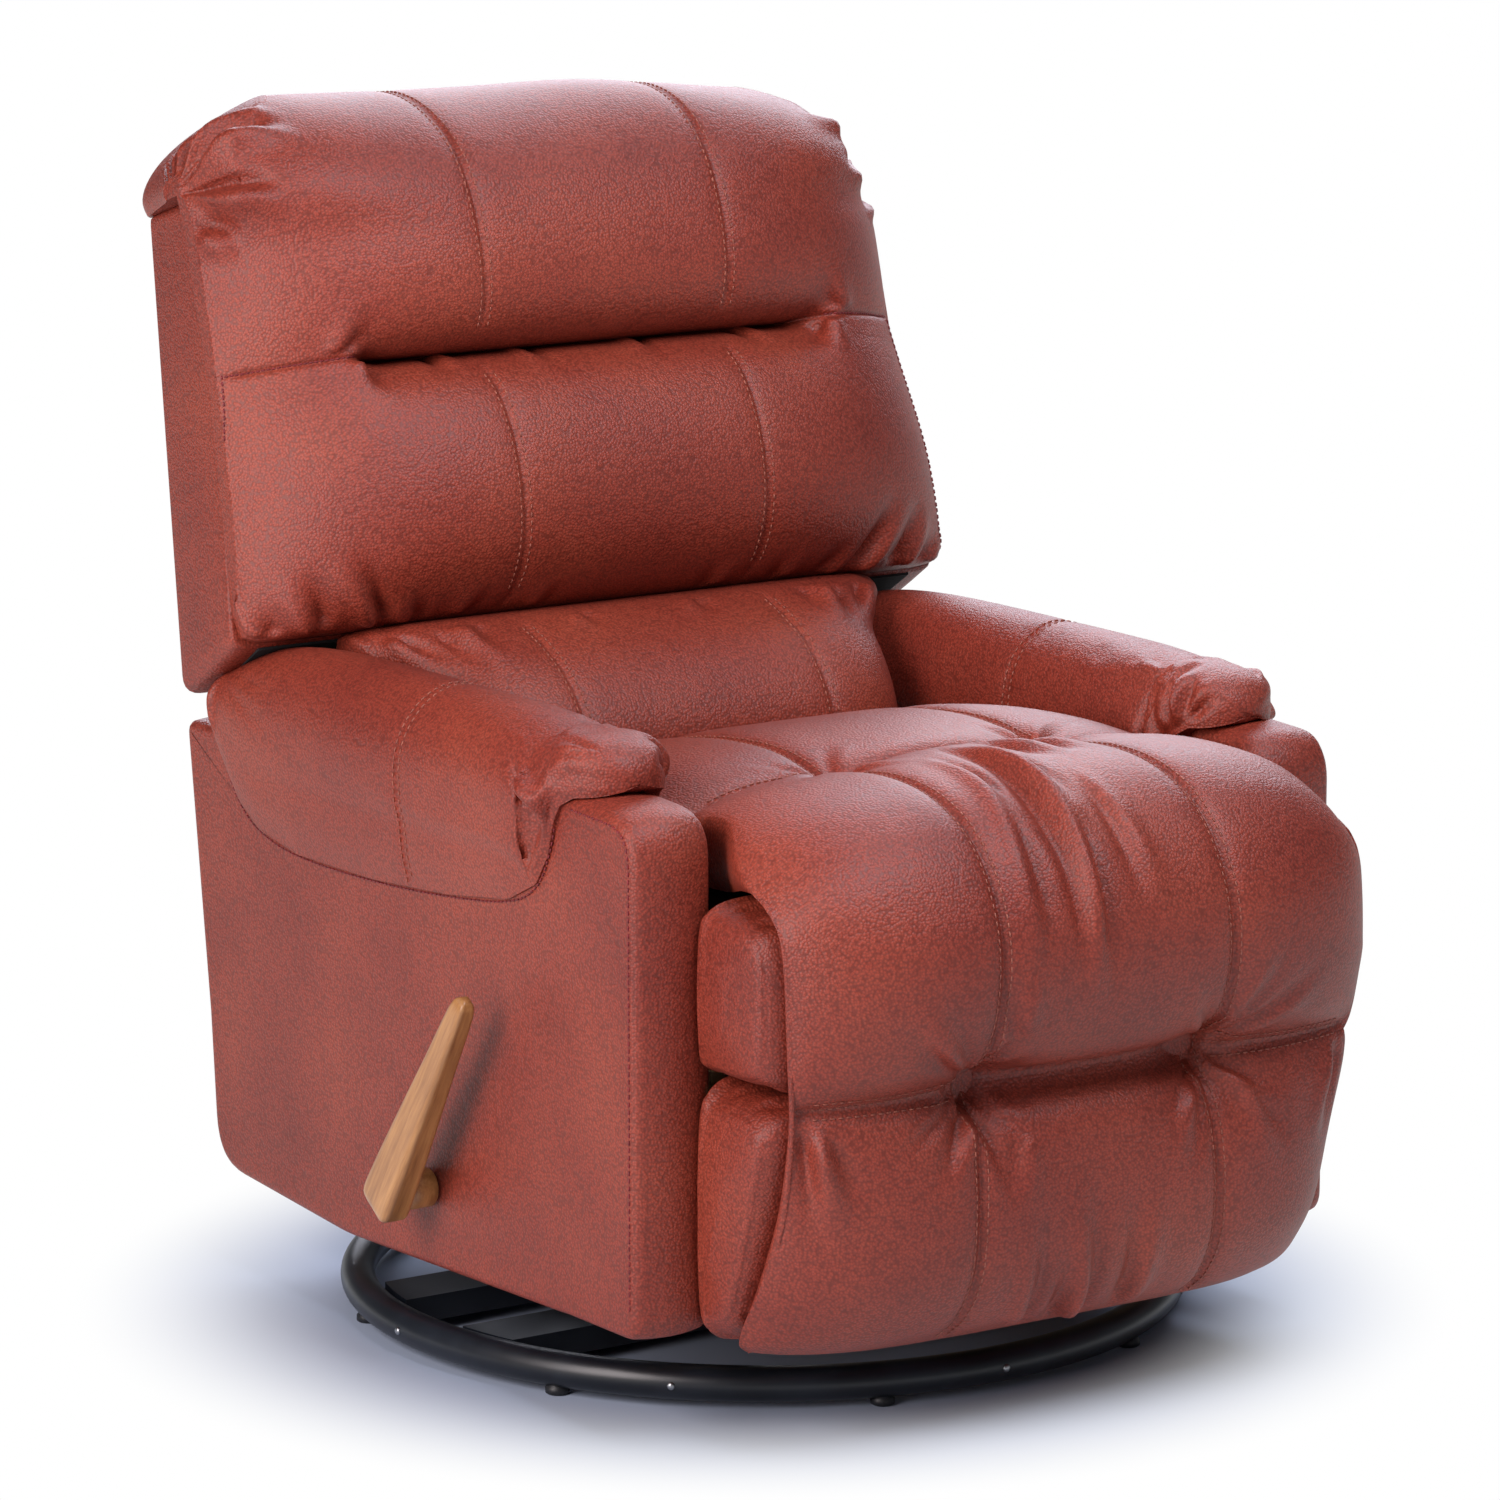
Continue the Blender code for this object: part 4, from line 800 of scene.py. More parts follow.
# %% Press the lumbar roll and make the back's leather
low = {name: nearest(lumbar.ring, *point) for name, point in (("top", (0.018, 0.175)), ("foot", (-0.155, 0.225)))}
LUMBAR_FOLDS = (  # from x, to x, drop, width, depth, ridge on the left, on the right
    (0.205, 0.190, 0.080, 0.0090, 0.0070, 0.8, -0.8), (0.165, 0.172, 0.045, 0.0080, 0.0045, -0.8, 0.8),
    (0.060, 0.055, 0.035, 0.0080, 0.0035, 0.8, 0.8), (0.236, 0.212, 0.060, 0.0075, 0.0080, -0.8, 0.8))
for side in (-1, 1):
    lumbar.seam(side * SEAM_X, min(low.values()), max(low.values()), *LONG_SEAM)
    for x0, x1, drop, width, depth, *ridge in LUMBAR_FOLDS:
        lumbar.fold(side * x0, low["top"] - 0.005, side * x1, low["top"] + drop, width, depth, ridge[side < 0])
lumbar.press()
for name, cover, nodes in (("inner_back_leather", inner_back, ("head_roll", "mid_roll")),
                           ("lumbar_roll_leather", lumbar, ("lumbar_roll",))):
    obj = piece(name, *cover.shell(back_place), leather)
    upholster(obj, "back", *nodes, fill=0.8)
    print(name, "has", len(obj.data.polygons), "faces")

# %% [markdown]
# Two rows of rust thread run down both long seams, 5 mm to each side. Dark red thread closes the flat ends of the
# valley and the side edge of the middle roll.

# %% Stitch the back


def back_rows(cover, lines, **size):
    """Stitches on a back cover along lines of (xs, vs)."""
    rows = []
    for xs, vs in lines:
        points, ups = cover.trace(xs, vs)
        flat = back_place(np.array([points, points + ups]))
        rows.append(stitch_row(flat[0], flat[1] - flat[0], **size))
    return rows


double = [side * SEAM_X + aside for side in (-1, 1) for aside in (-0.0050, 0.0050)]
rows = []
for cover, first, last in ((inner_back, at["low"], at["below"] - 0.012),
                           (inner_back, at["above"] + 0.006, at["behind"]),
                           (lumbar, low["top"] + 0.012, low["foot"] - 0.012)):
    vs = np.linspace(first, last, 160)
    rows += back_rows(cover, [(np.full(160, x), vs) for x in double])
back_stitching = piece("back_stitching", *join(rows), rust_thread)
rows = []
for side in (-1, 1):
    xs = side * np.linspace(0.240, 0.343, 60)
    rows += back_rows(inner_back, [(xs, np.full(60, at["valley"]))], pitch=0.0046, length=0.0044, radius=0.0008)
    vs = np.linspace(at["foot"] + 0.004, at["valley"], 90)
    xs = np.interp(vs, inner_back.v, side * (np.abs(inner_back.x).max(0) - 0.0035))
    rows += back_rows(inner_back, [(xs, vs)], pitch=0.0060, length=0.0048, radius=0.0008)
edge_stitching = piece("back_edge_stitching", *join(rows), red_thread)
for obj in (back_stitching, edge_stitching):
    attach(obj, "back")
print("back stitching has", len(back_stitching.data.polygons), "faces")

# %% [markdown]
# The outer back is a hardboard box in the same leather: a flat rear panel, two side bands 10 cm deep that show beside
# the rolls, and a tail that runs down between the arms. It is drawn as an outline with rounded corners carried
# through its depth, with the edges turned over a small radius.

# %% Panels carried through a thickness


def rounded(points, steps=6):
    """An outline with arcs at its corners; each point is (a, b, radius)."""
    out = []
    n = len(points)
    for i, (a, b, r) in enumerate(points):
        here = np.array([a, b])
        back, ahead = np.array(points[i - 1][:2]) - here, np.array(points[(i + 1) % n][:2]) - here
        la, lb = np.linalg.norm(back), np.linalg.norm(ahead)
        half = math.acos(max(-1, min(1, back @ ahead / la / lb))) / 2
        reach = min(r / math.tan(half), 0.45 * la, 0.45 * lb)
        start, end = here + back / la * reach, here + ahead / lb * reach
        for k in range(steps + 1):
            t = k / steps
            out.append((1 - t) ** 2 * start + 2 * t * (1 - t) * here + t * t * end)
    return np.array(out)


def inward(line, by):
    """The outline moved in by a distance. Points that a tight corner would throw too near another side are spread
    out between their neighbours."""
    ahead, back = np.roll(line, -1, 0) - line, line - np.roll(line, 1, 0)
    d = ahead / np.linalg.norm(ahead, axis=1, keepdims=True) + back / np.linalg.norm(back, axis=1, keepdims=True)
    d /= np.linalg.norm(d, axis=1, keepdims=True)
    n = np.stack([-d[:, 1], d[:, 0]], 1)
    area = 0.5 * np.sum(line[:, 0] * np.roll(line[:, 1], -1) - np.roll(line[:, 0], -1) * line[:, 1])
    moved = line + n * by * (1 if area > 0 else -1)
    if by <= 0:
        return moved
    side = np.roll(line, -1, 0) - line
    along = np.einsum("ijk,jk->ij", moved[:, None] - line, side) / np.sum(side ** 2, 1)
    foot = line + np.clip(along, 0, 1)[..., None] * side
    clear = np.linalg.norm(moved[:, None] - foot, axis=2).min(1) > 0.85 * by
    index = np.arange(len(line))
    return np.stack([np.interp(index, index[clear], moved[clear, k], period=len(line)) for k in (0, 1)], 1)


def panel(outline, levels, count=280):
    """Rings of (a, b, depth) for levels of (depth, inset), closed by flat faces at both ends. The first ring's end
    face is the last but one in the list, the last ring's is the last."""
    line = even(outline, count, True)
    verts = [(a, b, depth) for depth, by in levels for a, b in inward(line, by)]
    last = (len(levels) - 1) * count
    ends = [list(range(count))[::-1], list(range(last, last + count))]
    return np.array(verts), faces_of(len(levels), count) + ends


def turned(low, high, r_low, r_high, bulge=0.0):
    """Levels from one face to the other: turned edge, slightly crowned side, turned edge."""
    levels = [(low, r_low + 0.004)]
    levels += [(low + r_low * (1 - math.sin(a)), r_low * (1 - math.cos(a))) for a in np.linspace(np.pi / 2, 0, 6)]
    levels += [(low + r_low + (high - low - r_low - r_high) * t, -bulge * 4 * t * (1 - t))
               for t in np.linspace(0, 1, 9)[1:-1]]
    levels += [(high - r_high * (1 - math.sin(a)), r_high * (1 - math.cos(a))) for a in np.linspace(0, np.pi / 2, 6)]
    return levels + [(high, r_high + 0.004)]


print("a panel with turned edges has", len(turned(0.0, 0.02, 0.004, 0.004)), "levels")

# %% [markdown]
# Now the outer back itself. Its lower edge rises towards the front. Black cloth closes it from below, as under most
# upholstered furniture; it hangs a little lower than the panel's own underside.

# %% Outer back
CORNER = BACK_LEN + 0.012   # the top corners reach up under the gathered ends of the head roll
FRONT_RISE = 0.028          # by how much the lower edge is higher at the front than at the rear
shape = rounded([(-0.366, 0.004, 0.016), (0.366, 0.004, 0.016), (0.326, CORNER, 0.008), (0.308, CORNER, 0.010),
                 (0.290, BACK_LEN, 0.010), (-0.290, BACK_LEN, 0.010), (-0.308, CORNER, 0.010),
                 (-0.326, CORNER, 0.008)])
verts, faces = panel(shape, turned(0.0, BACK_DEPTH, 0.004, 0.004, 0.001), 420)
verts[:, 1] += np.clip(1 - verts[:, 1] / 0.2, 0, 1) * verts[:, 2] / BACK_DEPTH * FRONT_RISE
outer_back = piece("outer_back_leather", back_place(verts), faces, leather)
tail = rounded([(-0.242, -0.195, 0.014), (0.242, -0.195, 0.014), (0.242, 0.020, 0.010), (-0.242, 0.020, 0.010)])
verts, faces = panel(tail, turned(0.0004, 0.0098, 0.004, 0.003))
outer_tail = piece("outer_back_tail", back_place(verts), faces, leather)
for obj in (outer_back, outer_tail):
    upholster(obj, "back", "back_cover")
CLOTH_HALF, CLOTH_REAR, CLOTH_FRONT = 0.338, 0.003, 0.097
cloth_corners = ((-CLOTH_HALF, CLOTH_REAR), (CLOTH_HALF, CLOTH_REAR), (CLOTH_HALF, CLOTH_FRONT),
                 (-CLOTH_HALF, CLOTH_FRONT))
sheet = np.array([(x, t + FRONT_RISE / BACK_DEPTH * n, n) for t in (0.0015, 0.0050) for x, n in cloth_corners])
underside = piece("outer_back_bottom_cloth", back_place(sheet), faces_of(2, 4) + [(0, 1, 2, 3), (4, 5, 6, 7)],
                  seat_cloth, smooth=False)
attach(underside, "back")
print("outer back spans", round(outer_back.dimensions.x, 3), "m")

# %% [markdown]
# The seat and the chaise pad are one leather: it comes from under the lumbar roll, runs over the seat, folds over
# the front edge and hangs down in front of the footrest board. When the footrest rises, the fold opens. So it is
# drawn as one cover. Three lines are drawn side by side: the crown, the side edge and the
# underside. Across the chair the surface rises from the edge to the crown.

# %% Seat and chaise cover
profile = np.array([
    # crown y, z       side edge y, z   underside y, z   half width
    (0.082, 0.395, 0.080, 0.392, 0.070, 0.384, 0.236), (0.062, 0.425, 0.060, 0.418, 0.050, 0.400, 0.238),
    (0.048, 0.462, 0.045, 0.445, 0.030, 0.420, 0.240), (0.000, 0.497, 0.000, 0.470, 0.000, 0.433, 0.243),
    (-0.090, 0.516, -0.090, 0.484, -0.090, 0.436, 0.245), (-0.180, 0.523, -0.180, 0.490, -0.180, 0.437, 0.246),
    (-0.255, 0.519, -0.255, 0.494, -0.250, 0.438, 0.246), (-0.330, 0.529, -0.322, 0.502, -0.310, 0.441, 0.249),
    (-0.400, 0.527, -0.372, 0.486, -0.365, 0.455, 0.272), (-0.448, 0.513, -0.412, 0.465, -0.400, 0.459, 0.281),
    (-0.476, 0.4935, -0.438, 0.449, -0.428, 0.462, 0.283), (-0.497, 0.466, -0.452, 0.434, -0.4445, 0.448, 0.282),
    (-0.514, 0.425, -0.4565, 0.408, -0.4465, 0.418, 0.280), (-0.515, 0.375, -0.4570, 0.368, -0.4465, 0.375, 0.278),
    (-0.499, 0.325, -0.4565, 0.325, -0.4465, 0.325, 0.276), (-0.478, 0.292, -0.4560, 0.292, -0.4465, 0.292, 0.274),
    (-0.487, 0.250, -0.4520, 0.250, -0.4400, 0.250, 0.274), (-0.493, 0.200, -0.4430, 0.200, -0.4250, 0.200, 0.275),
    (-0.489, 0.145, -0.4250, 0.145, -0.4085, 0.145, 0.281), (-0.467, 0.104, -0.4020, 0.108, -0.3960, 0.106, 0.284),
    (-0.448, 0.089, -0.3920, 0.092, -0.3920, 0.092, 0.281), (-0.428, 0.081, -0.3880, 0.084, -0.3900, 0.086, 0.268)])
lines = curve(profile, 110, closed=False)
crown, edge, under, half = lines[:, 0:2], lines[:, 2:4], lines[:, 4:6], lines[:, 6]
run = lengths(crown)
TOP_END, FRONT_START = 60, 55   # of the crown's 110 points: where the seat's top ends and its front starts to count


def at_y(y):
    """Length along the crown where the seat's top passes y."""
    return float(np.interp(-y, -crown[:TOP_END, 0], run[:TOP_END]))


def at_z(z):
    """Length along the crown where the front passes height z."""
    return float(np.interp(-z, -crown[FRONT_START:, 1], run[FRONT_START:]))


print("seat and chaise leather:", round(run[-1], 3), "m from the lumbar roll to the foot")

# %% [markdown]
# The upper layer rises from the edge line to the crown, the lower one closes it. For the blowing-up step, the four
# tufts, the cross seams, the two long seams and the ends are held, and the leather is slack about the rows of tufts.
# The chaise's left edge is a little wider at mid-height and narrower at its foot, as in the photograph.

# %% Blow up the seat and chaise
u = np.linspace(-1, 1, 73)
s = (0.7 * u + 0.3 * np.sin(np.pi / 2 * u))[:, None]
rise = ((1 - np.abs(s) ** 5).clip(0) ** 0.85)[..., None]
top = edge[None] + (crown - edge)[None] * rise
left_gain = np.interp(-crown[:, 1], (-0.50, -0.45, -0.36, -0.28, -0.20, -0.09),
                      (0.0, 0.004, 0.010, 0.0, -0.010, -0.022))
x = s * np.where(s > 0, half + left_gain * (crown[:, 0] < -0.40), half)
upper = np.concatenate([x[..., None], top], 2)
lower = np.concatenate([x[..., None] * 0.97, np.broadcast_to(under[None], top.shape)], 2)[:, ::-1]
SEAT_TUFT, FRONT_TUFT = (0.108, at_y(-0.255)), (0.115, at_z(0.293))
seam_x = np.interp(run, [0, SEAT_TUFT[1], FRONT_TUFT[1], run[-1]], [0.112, SEAT_TUFT[0], FRONT_TUFT[0], 0.122])
v = np.broadcast_to(run[None], x.shape)
knots = [(side * tx, tv) for tx, tv in (SEAT_TUFT, FRONT_TUFT) for side in (-1, 1)]
tied = sum(np.exp(-((x - kx) ** 2 + (v - kv) ** 2) / 0.012 ** 2) for kx, kv in knots)
row_tied = 0.5 * bell(v - FRONT_TUFT[1], 0.006) + 0.15 * bell(v - SEAT_TUFT[1], 0.006)
long_tied = 0.10 * bell(np.abs(x) - seam_x[None], 0.006)
ends = np.clip((np.abs(s) - 0.95) / 0.04, 0, 1) + np.clip(1 - run[None] / 0.03, 0, 1)
ends = ends + np.clip(1 - (run[-1] - run[None]) / 0.02, 0, 1)
hold = np.clip(np.maximum.reduce([tied, row_tied, long_tied, ends]), 0, 1)
slack = bell(v - FRONT_TUFT[1], 0.05) + 0.8 * bell(v - SEAT_TUFT[1], 0.04)
slack = np.clip(slack * np.clip(1.3 - np.abs(x) / 0.2, 0, 1), 0, 1)
grid = inflate(np.concatenate([upper, lower], 1), np.concatenate([hold, np.ones_like(hold)], 1),
               np.concatenate([slack, 0 * slack], 1), cap=0.008)
print("seat grid has", grid.shape[0], "by", grid.shape[1], "points")

# %% [markdown]
# A cover's columns must be evenly spaced in v to be read at a length, so the seat's two layers are first put on one
# even ring. Then come the long seams, the tufts and the cross seams between them.

# %% Seams and tufts of the seat
loop = np.concatenate([crown, under[::-1]])
ring_run = lengths(loop)
total = ring_run[-1] + np.linalg.norm(loop[0] - loop[-1])
step = total / len(ring_run)
even_at = np.interp(np.arange(len(ring_run)) * step, ring_run, np.arange(len(ring_run)))
SEAM_SHARE = 0.112 / 0.283      # the long seams' place, as a share of the half width
fine_v = np.concatenate([np.linspace(0, run[-1], 330, endpoint=False),
                         np.linspace(run[-1], total, 60, endpoint=False)])
seat = Cover(between(grid, even_at, 1, True), between(np.concatenate([x, x[:, ::-1]], 1), even_at, 1, True),
             np.arange(len(ring_run)) * step, clustered(250, (-SEAM_SHARE, SEAM_SHARE), 0.05, 1.8), fine_v)
seam_line = np.interp(seat.v, run, seam_x)
for side in (-1, 1):
    seat.seam(side * seam_line, 0.02, run[-1] - 0.005, 0.0030, 0.006, 0.015)
    seat.tuft(side * SEAT_TUFT[0], SEAT_TUFT[1], 0.014, 0.016, 6, 0.4)
    seat.tuft(side * FRONT_TUFT[0], FRONT_TUFT[1], 0.024, 0.018, 7, 0.9)
    seat.cross(FRONT_TUFT[1], side * 0.2 - 0.09, side * 0.2 + 0.09, 0.004, 0.007, 0.018)
    seat.cross(SEAT_TUFT[1], side * 0.18 - 0.075, side * 0.18 + 0.06, 0.003, 0.006, 0.016)
seat.cross(FRONT_TUFT[1], -0.125, 0.125, 0.010, 0.010, 0.022)
seat.cross(SEAT_TUFT[1], -0.115, 0.115, 0.004, 0.008, 0.020)
print("seat tufts at", [round(t[1], 3) for t in (SEAT_TUFT, FRONT_TUFT)], "m along the leather")

# %% [markdown]
# The folds come last: long ones that run over the front edge between the tufts, short ones that rise from the hem, a
# few at the sides of the chaise, and rays about each tuft. They fade out before the underside and the side walls.

# %% Folds of the seat
RIDGES = (-0.8, 0.8)            # neighbouring folds turn their ridges to opposite sides
LONG_FOLDS = (  # from x, lead past the seat tufts, to x, length, depth
    (-0.022, 0.015, -0.028, 0.28, 0.0105), (-0.050, 0.055, -0.052, 0.21, 0.0077), (0.030, 0.000, 0.036, 0.13, 0.0063),
    (0.002, 0.030, 0.004, 0.18, 0.0056), (0.062, 0.010, 0.068, 0.11, 0.0056), (-0.036, 0.110, -0.040, 0.16, 0.0049),
    (-0.030, 0.120, -0.036, 0.25, 0.0084), (-0.010, 0.160, -0.008, 0.23, 0.0070), (0.022, 0.140, 0.028, 0.18, 0.0049),
    (-0.062, 0.140, -0.068, 0.21, 0.0063))
for i, (x0, lead, x1, size, depth) in enumerate(LONG_FOLDS):
    v0 = SEAT_TUFT[1] + lead
    seat.fold(x0, v0, x1, v0 + size, 0.0075, depth, RIDGES[i % 2], 0.005, 0.5)
HEM = run[-1] - 0.01            # folds that rise from the foot of the chaise start here
for i, (x0, x1, size) in enumerate(((0.005, -0.012, 0.17), (0.040, 0.030, 0.15), (-0.050, -0.060, 0.14),
                                    (-0.020, -0.035, 0.10))):
    seat.fold(x0, HEM, x1, HEM - size, 0.0085, 0.0075, RIDGES[i % 2])
CHAISE_FOLDS = (  # from x, z to x, z, depth, ridge
    (-0.268, 0.288, -0.256, 0.175, 0.0100, -0.8), (-0.252, 0.280, -0.222, 0.205, 0.0060, 0.8),
    (-0.098, 0.335, -0.108, 0.400, 0.0060, 0.8), (0.262, 0.285, 0.240, 0.190, 0.0070, 0.8),
    (0.150, 0.270, 0.200, 0.200, 0.0050, 0.8), (-0.080, 0.262, -0.092, 0.190, 0.0040, -0.8))
for x0, z0, x1, z1, depth, ridge in CHAISE_FOLDS:
    seat.fold(x0, at_z(z0), x1, at_z(z1), 0.0085, depth, ridge)
FRONT_RAYS = ((-0.060, -0.11), (-0.105, -0.090), (-0.05, 0.08), (-0.085, 0.045), (0.035, -0.09), (0.03, 0.10),
              (0.055, 0.05))
SEAT_RAYS = ((-0.06, -0.05), (-0.07, 0.06), (0.03, 0.08), (0.04, -0.06))
for side in (-1, 1):
    for (tx, tv), rays, depth in ((FRONT_TUFT, FRONT_RAYS, 0.0050), (SEAT_TUFT, SEAT_RAYS, 0.0035)):
        for k, (dx, dv) in enumerate(rays):
            seat.fold(side * (tx - 0.12 * dx), tv + 0.12 * dv, side * (tx - dx), tv + dv, 0.0075, depth,
                      RIDGES[k % 2], 0.0, 0.2)
FOLD_LIMIT = 0.288              # folds fade out before this x
inside = np.clip((1 - np.abs(seat.x) / FOLD_LIMIT) / 0.03, 0, 1)
seat.lift *= np.clip((run[-1] + 0.004 - seat.v) / 0.01, 0, 1)[None] * inside
print("seat folds reach", round(float(-seat.lift.min()) * 1000, 1), "mm deep")
seat.press()

# %% [markdown]
# Two padded walls close the cover's sides.

# %% Close the seat's sides
WALL_ROWS, WALL_BULGE = 7, 0.006
TOP_COLS = int((seat.v <= run[-1]).sum())


def side_wall(cover, row, side):
    """The padded wall that closes one end of the cover, from the edge line down to the underside."""
    ring = cover.grid[row]
    outer = ring[:TOP_COLS]
    inner = even(ring[TOP_COLS:][::-1], TOP_COLS, False, 3)
    rows = []
    for w in np.linspace(0, 1, WALL_ROWS + 2):
        line = outer + (inner - outer) * w
        line[:, 0] += side * WALL_BULGE * math.sin(math.pi * w) ** 0.8
        rows.append(line)
    return rows


def seat_shell(cover):
    """The cover's two layers and its two side walls as one closed skin."""
    rows, cols, _ = cover.grid.shape
    parts = [(cover.grid.reshape(-1, 3), faces_of(rows, cols))]
    for row, side in ((0, -1), (-1, 1)):
        wall = side_wall(cover, row, side)
        parts.append((np.concatenate(wall), faces_of(len(wall), len(wall[0]), False)))
    return join(parts)


seat_leather = piece("seat_chaise_leather", *seat_shell(seat), leather)
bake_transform(seat_leather)
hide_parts("seat_cushion", "chaise_pad")
print("seat cover has", len(seat_leather.data.polygons), "faces")

# %% [markdown]
# Rust thread again: double rows along the long seams and the seat's cross seam, three rows across the chaise.

# %% Stitch the seat
rows = []
vs = np.linspace(0.06, run[-1] - 0.012, 300)
for side in (-1, 1):
    for aside in (-0.0055, 0.0055):
        rows.append(stitch_row(*seat.trace(side * np.interp(vs, run, seam_x) + aside, vs)))
    xs = side * np.linspace(0.130, 0.262, 60)
    for aside in (-0.007, 0.0, 0.007):
        rows.append(stitch_row(*seat.trace(xs, np.full(60, FRONT_TUFT[1] + aside))))
    xs = side * np.linspace(0.120, 0.225, 50)
    for aside in (-0.0055, 0.0055):
        rows.append(stitch_row(*seat.trace(xs, np.full(50, SEAT_TUFT[1] + aside))))
seat_stitching = piece("seat_chaise_stitching", *join(rows), rust_thread)
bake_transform(seat_stitching)
print("seat stitching has", len(seat_stitching.data.polygons), "faces")

# %% [markdown]
# Under the leather the seat is a block of foam in black bottom cloth, standing on the springs. It shows only when
# the footrest is up.

# %% Seat foam
foam = rounded([(0.140, 0.2935, 0.02), (0.052, 0.398, 0.03), (0.0, 0.430, 0.03), (-0.300, 0.436, 0.03),
                (-0.318, 0.2935, 0.02)])
verts, faces = panel(foam, turned(-0.233, 0.233, 0.010, 0.010, 0.0))
seat_foam = piece("seat_foam", verts[:, [2, 0, 1]], faces, seat_cloth)
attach(seat_foam, "seat")
print("seat foam is", round(seat_foam.dimensions.y, 3), "m deep")

# %% [markdown]
# Two padded boards hang behind the chaise leather and stick out at its sides: the upper and the lower ear. Each is a
# foam block in leather, fullest in the middle of its end, with a tuck where the cover was folded at a corner.

# %% Ears beside the footrest
EAR_REAR, EAR_FRONT, EAR_LOW, EAR_SPLIT, EAR_TOP, EAR_TUCK = -0.345, -0.4455, 0.090, 0.3015, 0.445, 0.055
EAR_RIGHT, TUCK_X = 0.299, 0.283        # x of the right ends, and of the places where the tucks start


def ear_front(z):
    """y of the ears' front: upright above, drawn back below the knee of the board."""
    knee = EAR_SPLIT - 0.030
    return EAR_FRONT + EAR_TUCK * np.maximum(0.0, (knee - z) / (knee - EAR_LOW))


def ear(name, low, high, left):
    """One ear pad from low to high. left is how far it reaches at the chair's left."""
    middle = (low + high) / 2
    outline = [(EAR_REAR, low + 0.010), (EAR_REAR, high - 0.010), (EAR_REAR - 0.020, high - 0.001),
               (EAR_FRONT + 0.020, high - 0.004), (EAR_FRONT + 0.002, high - 0.026), (ear_front(middle), middle),
               (ear_front(low + 0.022) + 0.002, low + 0.022), (ear_front(low) + 0.016, low + 0.003),
               (EAR_REAR - 0.014, low)]
    ring = curve(outline, 84)
    u = np.linspace(-1, 1, 57)
    s = (0.55 * u + 0.45 * np.sin(np.pi / 2 * u))[:, None] * SHY
    keep = (1 - np.abs(s) ** 20) ** (1 / 4)
    core = EAR_REAR - 0.015
    y, z = core + (ring[:, 0] - core)[None] * keep, middle + (ring[:, 1] - middle)[None] * keep
    x = s * np.where(s < 0, EAR_RIGHT, left) + 0 * y
    hold = 1 - np.clip((np.abs(s) - 0.80) / 0.08, 0, 1) + 0 * y
    hold = np.maximum(hold, bell(z - high, 0.006) * 0.5)
    grid = inflate(np.stack([x, y, z], 2), hold, 0 * hold, cap=0.004)
    run = lengths(ring, True)
    cover = Cover(grid, x, run[:-1], clustered(150, (-0.95, 0.95), 0.10, 3.0),
                  np.linspace(0, run[-1], 170, endpoint=False))
    tucks = ((EAR_REAR - 0.03, high, 0.10, 0.005), (EAR_FRONT + 0.02, low + 0.01, 0.08, 0.006),
             (EAR_FRONT + 0.03, high, 0.07, 0.004))     # y, z, length, depth
    for side in (-1, 1):
        for tuck_y, tuck_z, size, depth in tucks:
            v = nearest(ring, tuck_y, tuck_z)
            cover.fold(side * TUCK_X, v, side * (TUCK_X - size), v + 0.02, 0.006, depth, 0.8 * side)
    cover.press()
    obj = piece(name + "_leather", *cover.shell(), leather)
    upholster(obj, "footrest", name, fill=0.85)
    return obj


ears = [ear("ear_pad_upper", EAR_SPLIT + 0.003, EAR_TOP, 0.281),
        ear("ear_pad_lower", EAR_LOW, EAR_SPLIT - 0.003, 0.264)]
print("ears are", [round(o.dimensions.x, 3) for o in ears], "m wide")

# %% [markdown]
# The arms. Each arm is a plywood box in leather: a flat outer panel with a turned edge, and a slim front post whose
# top is rounded over. Dark red stitches follow the edge of the panel.

# %% Arm panels and posts
ARM_IN, ARM_OUT, ARM_FRONT, ARM_REAR, ARM_LOW = 0.288, 0.350, -0.342, 0.366, 0.082
POST_TOP, POST_REAR, LEDGE, REAR_TOP, REAR_FRONT = 0.518, -0.222, 0.412, 0.476, 0.328
REAR_FULL = 0.018       # the padded rear edge stands this far behind the box
drape = np.array([(-0.300, 0.5196), (-0.250, 0.5196), (-0.238, 0.5120), (-0.228, 0.494), (-0.220, 0.470),
                  (-0.200, 0.440), (-0.158, 0.420), (-0.064, 0.406), (0.060, 0.396), (0.183, 0.394), (0.250, 0.404),
                  (0.286, 0.424), (0.310, 0.455), (0.3265, 0.482)])
under_pad = [(y, z + 0.012, 0.02) for y, z in drape[::-1] if -0.22 <= y < 0.30]
arm_line = rounded([(ARM_FRONT, ARM_LOW + 0.010, 0.020), (-0.235, ARM_LOW + 0.008, 0.05),
                    (0.115, ARM_LOW - 0.006, 0.3), (ARM_REAR - 0.045 + REAR_FULL, ARM_LOW + 0.008, 0.050),
                    (ARM_REAR - 0.034 + REAR_FULL, ARM_LOW + 0.143, 0.060),
                    (ARM_REAR - 0.001 + REAR_FULL, REAR_TOP + 0.003, 0.013),
                    (REAR_FRONT - 0.010, REAR_TOP + 0.004, 0.024), *under_pad,
                    (POST_REAR - 0.002, POST_TOP, 0.020), (ARM_FRONT, POST_TOP - 0.004, 0.040)], 8)
POST_SPLIT, POST_PAD = -0.238, 0.0135
ARM_POINTS = 420        # points round the arm's outline
SUNK = {"right": 0.0, "left": 0.009}    # how much flatter the foam lies on the post: the left arm is more worn


